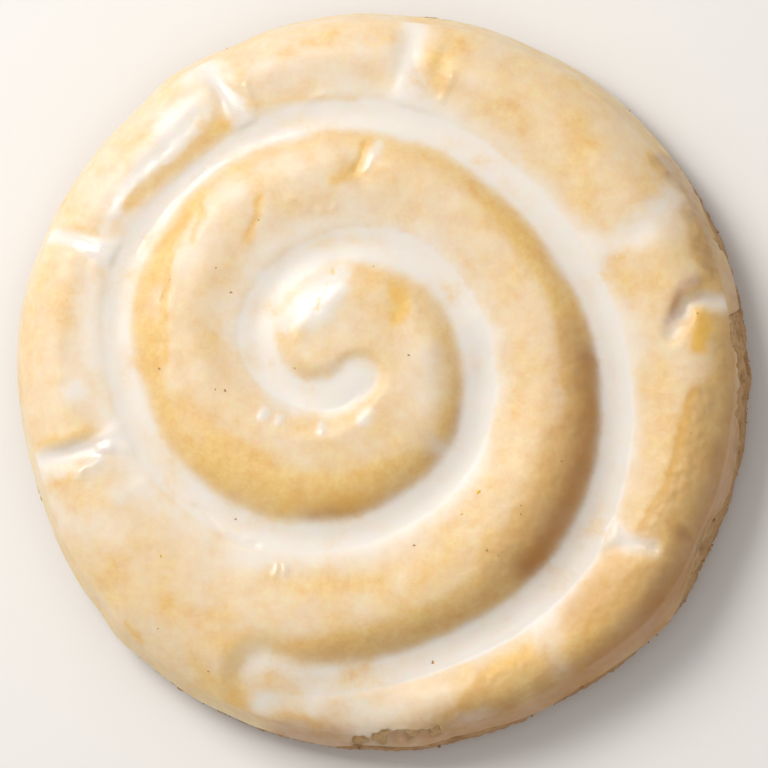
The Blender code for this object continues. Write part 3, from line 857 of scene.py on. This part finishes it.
# Where the pooled glaze is watery and lets the dough show through: path, half width, part
WATERY = (
    (((-11.6, -26.6), (-10.6, -25.4), (-8.8, -25.4), (-4.0, -25.4), (1.5, -25.4), (6.0, -24.6)), 2.0, 0.6),
    (((-11.0, -25.8), (-8.6, -25.2)), 1.6, 0.25),
    (((-20.6, 8.0), (-21.2, 2.0), (-19.8, -4.0)), 1.4, 0.3),
    (((-19.0, -5.0), (-17.2, -8.0), (-15.0, -10.9), (-12.0, -13.6)), 1.2, 0.45),
    (((-9.4, -1.6), (-10.2, 1.8), (-9.6, 5.8)), 0.9, 0.5),
    (((-12.6, 20.6), (-16.3, 17.4), (-20.3, 14.2)), 0.85, 0.8),
    (((-20.0, 1.2), (-19.6, 6.8), (-18.0, 11.8), (-14.2, 16.4), (-9.2, 19.2)), 0.7, 0.3),
    (((-10.3, 22.2), (-6.0, 22.9), (-2.0, 22.6)), 0.5, 0.6),
    (((-1.4, 0.0), (0.2, -0.4)), 1.2, 0.3),
    (((-8.2, 9.0), (-5.6, 10.6), (-2.8, 11.1), (0.5, 10.7)), 0.9, 0.6),
)
# How far the glaze has filled the middle of a cut
GLAZED_CUTS = {
    "right_bent": 0.3,
    "right_bend": 0.15,
    "right_soft": 0.2,
    "top": 0.5,
    "top_left": 0.55,
    "left_upper": 0.55,
    "left_lower": 0.5,
    "tail": 0.15,
    "bottom": 0.1,
    "right_lower": 0.4,
}
# Where the glaze shows a darker brown, on faces and rims turned from the soft box: painted shade,
# with some real browning by the oven: path, half width, amount
SHADE_AND_BROWNING = (
    # Knob and inner turn
    (((7.6, -3.0), (6.6, -6.4), (4.2, -9.4), (0.0, -11.2), (-5.0, -11.6)), 0.8, 0.6),
    # Middle turn
    (((17.5, 1.0), (17.7, -3.0), (16.9, -8.0), (15.0, -12.4), (12.4, -16.0)), 1.4, 0.95),
    (((12.4, -16.0), (7.6, -19.6), (2.4, -21.6), (-3.6, -22.6), (-8.6, -24.2)), 0.9, 0.15),
    (((16.0, 2.0), (15.6, -3.0), (14.6, -8.8), (12.0, -13.0)), 1.8, 0.35),
    # Outer turn, right
    (((29.8, 9.0), (30.4, 0.0), (29.4, -7.0)), 1.5, 1.0),
    (((28.1, -6.4), (28.0, -11.0)), 1.1, 0.8),
    (((26.1, -1.8), (25.2, -5.2), (24.2, -8.5), (23.0, -10.8), (21.8, -12.8)), 0.4, 0.4),
    # The shadow under the edge over the bent cut: painted shadow
    (((26.4, 7.5), (25.3, 7.0), (24.9, 6.3), (24.5, 5.1), (24.0, 4.0)), 0.5, 0.75),
    (((26.4, 4.6), (26.6, 3.4)), 0.6, 0.1),
    (((23.4, 17.6), (25.4, 15.0), (26.2, 13.4), (26.9, 11.0), (27.6, 8.4)), 0.75, 0.5),
    (((25.0, 17.6), (28.6, 10.6), (29.8, 6.0)), 0.7, 0.3),
    # Outer turn, lower right
    (((29.4, -7.0), (26.4, -14.8), (21.6, -21.0)), 1.8, 1.0),
    (((15.4, -24.7), (19.0, -22.7)), 1.2, 0.7),
    (GOLDEN_SHOULDER, 1.8, 0.5),
    (((25.2, -13.4), (26.6, -14.4), (26.2, -16.4)), 1.1, 0.9),
    # Outer turn, bottom
    (((21.6, -21.0), (13.0, -27.4), (2.0, -30.4), (-8.0, -29.4)), 1.3, 0.9),
    (((2.6, -29.0), (6.4, -27.6), (8.6, -26.0)), 0.9, 0.35),
)
# Where the crumb is coarse under the thin glaze: path, half width, amount
CRUMBLY = (
    (((16.4, 3.4), (16.4, -1.0), (15.8, -5.2), (14.7, -9.2), (12.6, -12.8), (9.9, -15.6)), 1.5, 0.7),
    (((27.0, -1.9), (26.3, -5.2), (25.4, -8.3), (24.2, -10.9), (22.9, -12.9)), 1.1, 1.0),
    (((28.9, 2.0), (29.2, -4.0), (27.3, -11.5), (23.4, -18.0)), 1.2, 0.7),
    (((15.6, -20.4), (18.6, -18.0), (21.6, -16.4)), 1.6, 0.5),
    (RAGGED_EDGE, 0.6, 1.5),
    (RAGGED_EDGE_LOW, 0.9, 1.6),
    (((24.6, -14.9), (27.4, -15.6)), 0.7, 1.0),
    (((14.0, -26.0), (5.0, -29.3), (-4.0, -29.5)), 1.0, 0.7),
    (((9.0, -25.2), (12.2, -24.0)), 0.8, 0.6),
)
# Where the dough is rich in yolk and shows a strong gold: path, half width, amount
YOLKY = (
    (((26.4, 5.0), (26.9, 3.7), (26.5, 2.0)), 0.75, 0.85),
    (((2.0, 6.6), (2.4, 5.4), (2.2, 4.4)), 0.5, 0.55),
    (RIGHT_CREASE, 0.3, 0.5),
    (((17.0, -1.0), (16.4, -6.0), (14.6, -10.4), (12.0, -13.6)), 1.5, 0.2),
    (GOLDEN_SHOULDER, 1.7, 0.3),
    (((8.6, -25.2), (10.0, -23.9), (12.3, -23.0)), 0.6, 0.6),
    (((6.0, -8.4), (0.0, -10.8), (-7.0, -10.6)), 0.9, 0.35),
    (((-9.4, 14.0), (-9.8, 12.6), (-10.2, 11.2)), 0.35, 0.2),
)
# Wet spots that dried glossy: path, half width, gloss
GLOSS = (
    # Knob and inner turn
    (KNOB_FACET, 1.2, 0.6),
    (KNOB_FACET_TOP, 0.7, 0.7),
    (KNOB_FACET_FOOT, 0.8, 0.6),
    (THIRD_DROP, 0.5, 0.7),
    (LAST_DROP, 0.4, 0.2),
    (((3.3, 6.0), (3.8, 5.1)), 0.5, 1.0),
    # Middle turn
    (ROPE_FOLD, 0.35, 0.8),
    (FIRST_DROP, 0.4, 0.7),
    (SECOND_DROP, 0.4, 0.7),
    (((-10.8, 19.2), (-6.3, 20.2)), 0.5, 0.8),
    # Outer groove
    (((-19.6, 10.3), (-18.3, 12.7), (-16.7, 14.6), (-14.0, 16.8)), 0.35, 1.0),
    (((-13.4, 17.4), (-12.6, 17.8)), 0.3, 1.0),
    # Outer turn, top
    (((6.7, 24.7), (5.7, 22.4)), 0.5, 1.0),
    (TOP_DRIP, 0.5, 1.0),
    # Outer turn, right
    (((25.5, 5.0), (25.1, 3.9)), 0.5, 1.0),
    # Outer turn, lower right
    (((22.3, -14.0), (23.7, -14.2)), 0.5, 1.0),
    # Outer turn, lower left
    (((-8.0, -16.0), (-7.3, -16.2)), 0.5, 1.0),
    # Outer turn, left
    (((-22.5, -5.8), (-23.7, -7.8)), 0.7, 1.0),
    # Outer turn, upper left
    (((-14.8, 21.6), (-16.9, 19.3), (-19.2, 16.6), (-21.2, 14.2)), 0.8, 0.8),
    (((-13.6, 24.6), (-12.7, 23.3), (-11.7, 21.8)), 0.6, 0.8),
    (((-24.7, 10.8), (-22.2, 9.9)), 0.5, 0.8),
)


def strongest(x, y, rows):
    """The strongest of soft strokes at each point."""
    return np.max([strokes(x, y, (row,)) for row in rows], axis=0)


def strayed(x, y):
    """The points moved a little at random, so that strokes laid over them are ragged."""
    ground = np.column_stack([x, y, 0.0 * x])
    return x + rough(ground, STRAYING), y + rough(ground + OTHER_PLACE, STRAYING)


def across_groove(x, y):
    """How far each point lies outwards of the groove's middle line, at the turn nearest to it."""
    nearest = np.full(np.shape(x), 2 * MEAN_RADIUS)
    for _, across, runs_here in turns_at(x, y):
        nearer = runs_here & (np.abs(across) < np.abs(nearest))
        nearest = np.where(nearer, across, nearest)
    return nearest


def glaze_over(x, y):
    """The height of the glazed surface before the rim is rounded off, and the glaze's depth."""
    dough_here = dough_top(x, y)
    rise_x = dough_top(x + SLOPE_STEP, y) - dough_top(x - SLOPE_STEP, y)
    rise_y = dough_top(x, y + SLOPE_STEP) - dough_top(x, y - SLOPE_STEP)
    slope = np.hypot(rise_x, rise_y) / (2 * SLOPE_STEP)
    coat = COAT / (1.0 + (slope / COAT_SLOPE) ** 2) + strokes(*strayed(x, y), COAT_STROKES)
    coat = np.maximum(coat, THINNEST_COAT)
    _, outside = beside_groove(x, y)
    across = across_groove(x, y)
    shore = groove_floor(x, y) + POOL_DEPTH
    to_ends = [groove_point(end) for end in (GROOVE_START, GROOVE_END)]
    from_ends = np.min([np.hypot(x - end_x, y - end_y) for end_x, end_y in to_ends], axis=0)
    along = 1.0 - np.exp(-((from_ends / HOLLOW_BEGINS) ** 2))
    level = shore - POOL_HOLLOW * along * np.exp(-((across / HOLLOW_WIDTH) ** 2))
    slant = 2 * GROOVE_FALL * np.hypot(x, y) / MEAN_RADIUS**2
    level = level + LEVELLED * along * slant * across * np.exp(-((across / LEVELLED_WIDTH) ** 2))
    fillet = POOL_FILLET + OUTER_FILLET * np.clip(across, 0.0, 1.0)
    pooled = level + fillet * np.logaddexp((dough_here - level) / fillet, 0.0)
    for name, filling in GLAZED_CUTS.items():
        path, half_width, _ = CUTS[name]
        above_pool = np.clip(dough_here - shore + CUT_FILLED_FROM, 0.0, 1.0)
        pooled = pooled + filling * above_pool * in_cut(x, y, path, half_width)
    foot = FOOT_DEPTH * np.exp(-np.maximum(outside, 0.0) / FOOT_REACH)
    relief = strokes(*strayed(x, y), RELIEF)
    watery = np.clip(strokes(x, y, WATERY), 0.0, 1.0)
    return pooled + relief, (coat + foot + pooled - dough_here) * (1.0 - watery)


def store(thing, name, values):
    """Keeps a number for each point of an object, for its material to read."""
    layer = thing.data.attributes.new(name, "FLOAT", "POINT")
    layer.data.foreach_set("value", np.asarray(values, np.float32))


glaze_points = [(0.0, 0.0)]
glaze_faces = []
last_start = 0
last_around = 1
for ring in range(1, GLAZE_RINGS + 1):
    glaze_around = SECTORS * ring
    angle = np.linspace(0.0, 2 * math.pi, glaze_around, endpoint=False)
    radius = wall_radius(angle, WALL_TOP) * crowded(ring / GLAZE_RINGS, *GLAZE_CROWDING)
    start = len(glaze_points)
    glaze_points.extend(zip(radius * np.cos(angle), radius * np.sin(angle)))
    for step in range(glaze_around):
        sector, within = divmod(step, ring)
        after = start + (step + 1) % glaze_around
        inner_step = sector * (ring - 1) + within
        inner = last_start + inner_step % last_around
        glaze_faces.append((inner, start + step, after))
        if within < ring - 1:
            glaze_faces.append((inner, after, last_start + (inner_step + 1) % last_around))
    last_start = start
    last_around = glaze_around
rim_start = last_start
x, y = np.array(glaze_points).T
top, depth = glaze_over(x, y)
angle = np.arctan2(y, x)
z = rounded_rim(x, y, wall_radius(angle, WALL_TOP), top)
glaze_points = np.column_stack([x, y, z])

# Down the side to the lip, which is thicker and turns in against the dough
angle = np.linspace(0.0, 2 * math.pi, glaze_around, endpoint=False)
lip = lip_height(angle)
wall_rows = []
for ring in range(1, GLAZE_WALL_RINGS + 1):
    part = ring / GLAZE_WALL_RINGS
    height = WALL_TOP + (lip - WALL_TOP) * math.sin(part * math.pi / 2) ** LIP_CURVE
    swell = LIP_THICKNESS * math.exp(-(((part - LIP_SWELL) / LIP_SWELL_REACH) ** 2))
    tuck = LIP_TUCK * max((part - LIP_TUCK_FROM) / (1.0 - LIP_TUCK_FROM), 0.0) ** 2
    radius = wall_radius(angle, height) + swell - tuck
    wall_rows.append(np.column_stack([radius * np.cos(angle), radius * np.sin(angle), height]))
glaze_points = np.vstack([glaze_points, *wall_rows])
glaze_faces.extend(ring_quads(rim_start, GLAZE_WALL_RINGS + 1, glaze_around))
# Thinner on the side towards the lower right, showing darker dough: in part painted shade
towards_thinning = 0.5 + 0.5 * np.cos(angle - math.radians(THINNING_TOWARDS))
side_depth = COAT * (SIDE_COAT - SIDE_THINNING * towards_thinning)
depth = np.concatenate([depth, np.tile(side_depth, GLAZE_WALL_RINGS)])
glaze = mesh_object("glaze_coat", glaze_points, glaze_faces)

# Soft unevenness everywhere, and the crumb where the coat is thin. Where the dough is bare the
# coat turns in out of sight below it.
points, normals = point_normals(glaze)
x, y = strayed(points[:, 0], points[:, 1])
crumbly = strongest(x, y, CRUMBLY)
crumb_height = THIN_CRUMB * np.exp(-depth / THIN_COAT) + COARSE_CRUMB * crumbly
rolling = rough(points, ROLLING) * np.clip(LEVEL_DEPTH - depth, ROLLING_LEFT, 1.0)
out = rolling + crumb_height * rough(points, COAT_CRUMB)
tuck = BARE_TUCK * bareness(points[:, 0], points[:, 1], 0.0)
from_axis = np.hypot(points[:, 0], points[:, 1]) + AXIS_GAP
outwards = points * (1.0, 1.0, 0.0) / from_axis[:, None]
move_points(glaze, points + normals * out[:, None] - outwards * tuck[:, None])
store(glaze, "glaze_depth", depth)
store(glaze, "crumbly", crumbly)
for name, rows in (("gloss", GLOSS), ("browned_and_shaded", SHADE_AND_BROWNING), ("yolky", YOLKY)):
    store(glaze, name, strongest(x, y, rows))

# Set icing-sugar glaze over baked dough: its depth sets how far golden dough shows through the
# white, and the thicker it lies, the smoother and glossier it dries
GLAZE_WHITE = linear("#F6EFE8")
GLAZED_GOLD = linear("#F8D88E")
GLAZED_DEEP = linear("#EDBC68")
GLAZED_SHADED_BROWN = linear("#BE8034")
GLAZED_YOLK = linear("#F9C54C")
CRUMB_TAN = linear("#C69C60")
HIDING_DEPTH = 0.26  # the depth that hides about two thirds of the dough's colour
CLOUD_SIZE = 4.5
BLOTCH_SIZE = 1.6
SUGAR_SIZE = 0.35  # the grains are much finer in truth, and show only when drawn as coarse as this
SUGAR_BUMP = 0.06

sugar_glaze = bpy.data.materials.new("poured_sugar_glaze")
sugar_glaze.use_nodes = True
tree = sugar_glaze.node_tree
shader = tree.nodes["Principled BSDF"]
place = add_node(tree, "TexCoord", {}).outputs["Object"]
depth_here = add_node(tree, "Attribute", {}, attribute_name="glaze_depth")
gloss_here = add_node(tree, "Attribute", {}, attribute_name="gloss")
cloudy = add_node(
    tree, "TexNoise", {"Vector": place, "Scale": per_metre(CLOUD_SIZE), "Detail": 6.0, "Roughness": 0.66}
)
cloud = add_node(
    tree,
    "MapRange",
    {"Value": cloudy.outputs["Fac"], "From Min": 0.32, "From Max": 0.68, "To Min": 0.25, "To Max": 1.75},
)
uneven_depth = add_node(
    tree, "Math", {0: depth_here.outputs["Fac"], 1: cloud.outputs["Result"]}, operation="MULTIPLY"
)
optical = add_node(
    tree, "Math", {0: uneven_depth.outputs[0], 1: -1.0 / HIDING_DEPTH}, operation="MULTIPLY"
)
shows = add_node(tree, "Math", {0: optical.outputs[0]}, operation="EXPONENT", use_clamp=True)
blotch = add_node(
    tree, "TexNoise", {"Vector": place, "Scale": per_metre(BLOTCH_SIZE), "Detail": 5.0, "Roughness": 0.72}
)
blotched = add_node(
    tree, "MapRange", {"Value": blotch.outputs["Fac"], "From Min": 0.3, "From Max": 0.68}
)
dough_colour = add_node(
    tree,
    "Mix",
    {0: blotched.outputs["Result"], 6: GLAZED_GOLD, 7: GLAZED_DEEP},
    data_type="RGBA",
)
# Darker brown on faces turned from the soft box: painted shade, with some real browning
shade_and_browning_here = add_node(tree, "Attribute", {}, attribute_name="browned_and_shaded")
shade_and_browning_colour = add_node(
    tree,
    "Mix",
    {0: shade_and_browning_here.outputs["Fac"], 6: dough_colour.outputs[2], 7: GLAZED_SHADED_BROWN},
    data_type="RGBA",
)
yolky_here = add_node(tree, "Attribute", {}, attribute_name="yolky")
yolky_colour = add_node(
    tree,
    "Mix",
    {0: yolky_here.outputs["Fac"], 6: shade_and_browning_colour.outputs[2], 7: GLAZED_YOLK},
    data_type="RGBA",
)
crumbly_here = add_node(tree, "Attribute", {}, attribute_name="crumbly")
crumb_part = add_node(tree, "Math", {0: crumbly_here.outputs["Fac"], 1: 0.5}, operation="MULTIPLY")
crumb_colour = add_node(
    tree,
    "Mix",
    {0: crumb_part.outputs[0], 6: yolky_colour.outputs[2], 7: CRUMB_TAN},
    data_type="RGBA",
)
glaze_colour = add_node(
    tree,
    "Mix",
    {0: shows.outputs[0], 6: GLAZE_WHITE, 7: crumb_colour.outputs[2]},
    data_type="RGBA",
)
satin = add_node(
    tree,
    "MapRange",
    {"Value": shows.outputs[0], "To Min": 0.38, "To Max": 0.48},
)
finish = add_node(
    tree,
    "MapRange",
    {"Value": gloss_here.outputs["Fac"], "To Max": 0.14},
)
tree.links.new(satin.outputs["Result"], finish.inputs["To Min"])
fine = add_node(
    tree, "TexNoise", {"Vector": place, "Scale": per_metre(SUGAR_SIZE), "Detail": 2.0, "Roughness": 0.6}
)
fine_height = add_node(tree, "Math", {0: fine.outputs["Fac"], 1: shows.outputs[0]}, operation="MULTIPLY")
fine_bump = add_node(
    tree, "Bump", {"Height": fine_height.outputs[0], "Strength": 0.35, "Distance": SUGAR_BUMP * MM}
)
tree.links.new(glaze_colour.outputs[2], shader.inputs["Base Color"])
tree.links.new(finish.outputs["Result"], shader.inputs["Roughness"])
tree.links.new(fine_bump.outputs["Normal"], shader.inputs["Normal"])
shader.inputs["IOR"].default_value = 1.49
shader.inputs["Subsurface Weight"].default_value = 0.5
shader.inputs["Subsurface Radius"].default_value = (1.0, 0.6, 0.35)
shader.inputs["Subsurface Scale"].default_value = 1.0 * MM
glaze.data.materials.append(sugar_glaze)

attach(glaze, "root")
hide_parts("glaze_pool")

# ---- Bran and yolk specks ------------------------------------------------------------------------
# Flakes of wheat bran and dots of egg yolk that came out of the dough. The glaze caught them as it
# was poured, and they lie half sunk in its top.

# Where each lies, and how long it is
BRAN = (
    (-16.7, 7.8, 0.34),
    (-12.9, 8.7, 0.26),
    (-11.7, 6.7, 0.3),
    (-17.6, 0.5, 0.24),
    (-12.1, -1.4, 0.28),
    (-12.9, -1.3, 0.18),
    (0.0, 8.7, 0.3),
    (3.0, 1.3, 0.28),
    (-6.4, 0.4, 0.28),
    (-9.4, 12.6, 0.24),
    (-11.4, -11.8, 0.22),
    (12.1, -11.0, 0.24),
    (12.1, -11.7, 0.2),
    (9.3, -14.6, 0.24),
    (10.2, -15.0, 0.2),
    (3.3, -14.1, 0.24),
    (15.4, -7.4, 0.22),
    (4.6, -23.5, 0.34),
    (-17.8, -20.7, 0.22),
    (-13.7, -24.2, 0.2),
    (26.4, 4.7, 0.2),
    (25.8, -5.1, 0.2),
)
YOLK = (
    (-17.5, -14.8, 0.26),
    (8.6, -9.8, 0.4),
    (7.2, -11.6, 0.2),
)
SPECK_AROUND = 10
SPECK_WIDTH = 0.6  # as a part of its length
SPECK_RAGGED = 0.2  # how uneven its outline is
SPECK_TURN = 2.4  # how far each is turned from the one before, in radians


def specks(name, rows, half_thickness):
    """Flat oval flakes, each half sunk in the glazed surface and lying along it."""
    surface, facing = point_normals(glaze)
    made_points = []
    made_faces = []
    for number, (x, y, length) in enumerate(rows):
        nearest = int(np.argmin(np.hypot(surface[:rim_start, 0] - x, surface[:rim_start, 1] - y)))
        upright = Vector(facing[nearest])
        heading = Vector((math.cos(SPECK_TURN * number), math.sin(SPECK_TURN * number), 0.0))
        along = upright.cross(heading).normalized()
        across = upright.cross(along)
        centre = Vector((x, y, surface[nearest, 2]))
        first = len(made_points)
        made_points.append(centre + upright * half_thickness)
        for step in range(SPECK_AROUND):
            turn = 2 * math.pi * step / SPECK_AROUND
            ragged = 1.0 + SPECK_RAGGED * math.sin(3 * turn + number)
            flat = along * math.cos(turn) + across * SPECK_WIDTH * math.sin(turn)
            made_points.append(centre + flat * (length / 2) * ragged)
        made_points.append(centre - upright * half_thickness)
        for step in range(SPECK_AROUND):
            here = first + 1 + step
            after = first + 1 + (step + 1) % SPECK_AROUND
            made_faces.append((first, here, after))
            made_faces.append((first + 1 + SPECK_AROUND, after, here))
    made = mesh_object(name, made_points, made_faces)
    made.data.shade_flat()
    return made


# Toasted wheat bran: dry brown flakes, pale under a film of glaze. Baked yolk: a strong clear
# yellow, and glossier.
for name, rows, half_thickness, material, colour, roughness in (
    ("toasted_bran_flakes", BRAN, 0.04, "toasted_wheat_bran", "#B98E5E", 0.7),
    ("baked_yolk_dots", YOLK, 0.07, "baked_egg_yolk", "#EDCB2C", 0.4),
):
    speck = specks(name, rows, half_thickness)
    speck_material = bpy.data.materials.new(material)
    speck_material.use_nodes = True
    shader = speck_material.node_tree.nodes["Principled BSDF"]
    shader.inputs["Base Color"].default_value = linear(colour)
    shader.inputs["Roughness"].default_value = roughness
    speck.data.materials.append(speck_material)
    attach(speck, "root")

# ---- Crumbs --------------------------------------------------------------------------------------
# Loose crumbs of the same baked dough. They rubbed off in handling and cling to the bare side,
# between the glaze and the tray.

CRUMBS = 150
CRUMB_SIZES = (0.16, 0.42)  # the smallest and the largest
LOWEST_CRUMB = 0.35
CRUMB_BELOW_LIP = 0.5  # how far below the glaze's lip the highest may lie
CRUMB_RINGS = 4
CRUMB_AROUND = 6
CRUMB_ROUND = 0.8  # a crumb's mean radius, as a part of half its size
CRUMB_LUMPS = 0.5  # and how much its lumps add to that or take away
CRUMB_DETAIL = 1.3  # how small those lumps are beside it: more makes them smaller
CRUMB_APART = 3.0  # far enough apart in the noise for every crumb to differ
CRUMB_SEED = 5

chance = np.random.default_rng(CRUMB_SEED)
crumb_points = []
crumb_faces = []
for number in range(CRUMBS):
    direction = chance.uniform(-math.pi, math.pi)
    highest = float(lip_height(np.array([direction]))[0]) - CRUMB_BELOW_LIP
    height = chance.uniform(LOWEST_CRUMB, highest)
    size = CRUMB_SIZES[0] + (CRUMB_SIZES[1] - CRUMB_SIZES[0]) * chance.uniform() ** 2
    reach = float(wall_radius(np.array([direction]), np.array([height]))[0])
    centre = Vector((math.cos(direction) * reach, math.sin(direction) * reach, max(height, size / 2)))
    first = len(crumb_points)
    for ring in range(CRUMB_RINGS + 1):
        tilt = math.pi * ring / CRUMB_RINGS
        for step in range(CRUMB_AROUND):
            turn = 2 * math.pi * (step + 0.5 * (ring % 2)) / CRUMB_AROUND
            offset = Vector(
                (math.sin(tilt) * math.cos(turn), math.sin(tilt) * math.sin(turn), math.cos(tilt))
            )
            own_noise = offset * CRUMB_DETAIL + Vector((CRUMB_APART * number, 0.0, 0.0))
            lumpy = CRUMB_ROUND + CRUMB_LUMPS * noise.noise(own_noise)
            crumb_points.append(centre + offset * (size / 2) * lumpy)
    crumb_faces.extend(ring_quads(first, CRUMB_RINGS + 1, CRUMB_AROUND))
crumbs = mesh_object("clinging_crumbs", crumb_points, crumb_faces)
crumbs.data.materials.append(baked_crumb)
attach(crumbs, "root")

# ---- Floor ---------------------------------------------------------------------------------------
# A plain pale sheet for the biscuit to lie on, wide enough to fill every view. It is part of the
# studio and not of the biscuit.

FLOOR_HALF = 900.0
floor = mesh_object(
    "pale_floor",
    [
        (-FLOOR_HALF, -FLOOR_HALF, 0.0),
        (FLOOR_HALF, -FLOOR_HALF, 0.0),
        (FLOOR_HALF, FLOOR_HALF, 0.0),
        (-FLOOR_HALF, FLOOR_HALF, 0.0),
    ],
    [(0, 1, 2, 3)],
)
# Uncoated white card: it spreads light evenly and mirrors nothing
white_card = bpy.data.materials.new("matt_white_card")
white_card.use_nodes = True
shader = white_card.node_tree.nodes["Principled BSDF"]
shader.inputs["Base Color"].default_value = linear("#F7F6F4")
shader.inputs["Roughness"].default_value = 0.9
floor.data.materials.append(white_card)

# ---- Lights and camera ---------------------------------------------------------------------------
# A large soft box high on the upper left, and pale surroundings. The camera looks down from almost
# straight above, leaning a little to the lower right, through a long lens.

KEY_DIRECTION = Vector((-0.49, 0.42, 0.766)).normalized()
KEY_DISTANCE = 450.0
KEY_SIZE = 230.0
KEY_POWER = 1.43
SKY_STRENGTH = 0.44

CAMERA_TILT = math.radians(8.0)
CAMERA_TURN = math.radians(-42.0)
CAMERA_DISTANCE = 600.0
CAMERA_AIM = Vector((0.39, -0.50, 4.95))
VIEW_WIDTH = 63.04  # what the frame takes in at that distance
SENSOR = 36.0


def look_back_along(thing, direction):
    """Turns an object's -Z side back along a direction, with its +Y side up the picture."""
    across = Vector((0.0, 1.0, 0.0)).cross(direction).normalized()
    axes = Matrix((across, direction.cross(across), direction)).transposed()
    thing.rotation_mode = "QUATERNION"
    thing.rotation_quaternion = axes.to_quaternion()


key_light = bpy.data.lights.new("soft_box", "AREA")
key_light.shape = "SQUARE"
key_light.size = KEY_SIZE * MM
key_light.energy = KEY_POWER
key_light.color = linear("#FFFBF5")[:3]
key = bpy.data.objects.new("soft_box", key_light)
bpy.context.scene.collection.objects.link(key)
key.location = KEY_DIRECTION * KEY_DISTANCE * MM
look_back_along(key, KEY_DIRECTION)

sky = bpy.data.worlds.new("pale_studio")
sky.use_nodes = True
sky.node_tree.nodes["Background"].inputs["Color"].default_value = linear("#FFFDFA")
sky.node_tree.nodes["Background"].inputs["Strength"].default_value = SKY_STRENGTH
bpy.context.scene.world = sky
bpy.context.scene.view_settings.view_transform = "Standard"

camera_data = bpy.data.cameras.new("camera")
camera_data.lens = SENSOR * CAMERA_DISTANCE / VIEW_WIDTH
camera_data.sensor_width = SENSOR
camera_data.clip_start = 0.05
camera_data.clip_end = 5.0
camera = bpy.data.objects.new("camera", camera_data)
bpy.context.scene.collection.objects.link(camera)
towards_camera = Vector(
    (
        math.sin(CAMERA_TILT) * math.cos(CAMERA_TURN),
        math.sin(CAMERA_TILT) * math.sin(CAMERA_TURN),
        math.cos(CAMERA_TILT),
    )
)
camera.location = (CAMERA_AIM + towards_camera * CAMERA_DISTANCE) * MM
look_back_along(camera, towards_camera)
bpy.context.scene.camera = camera
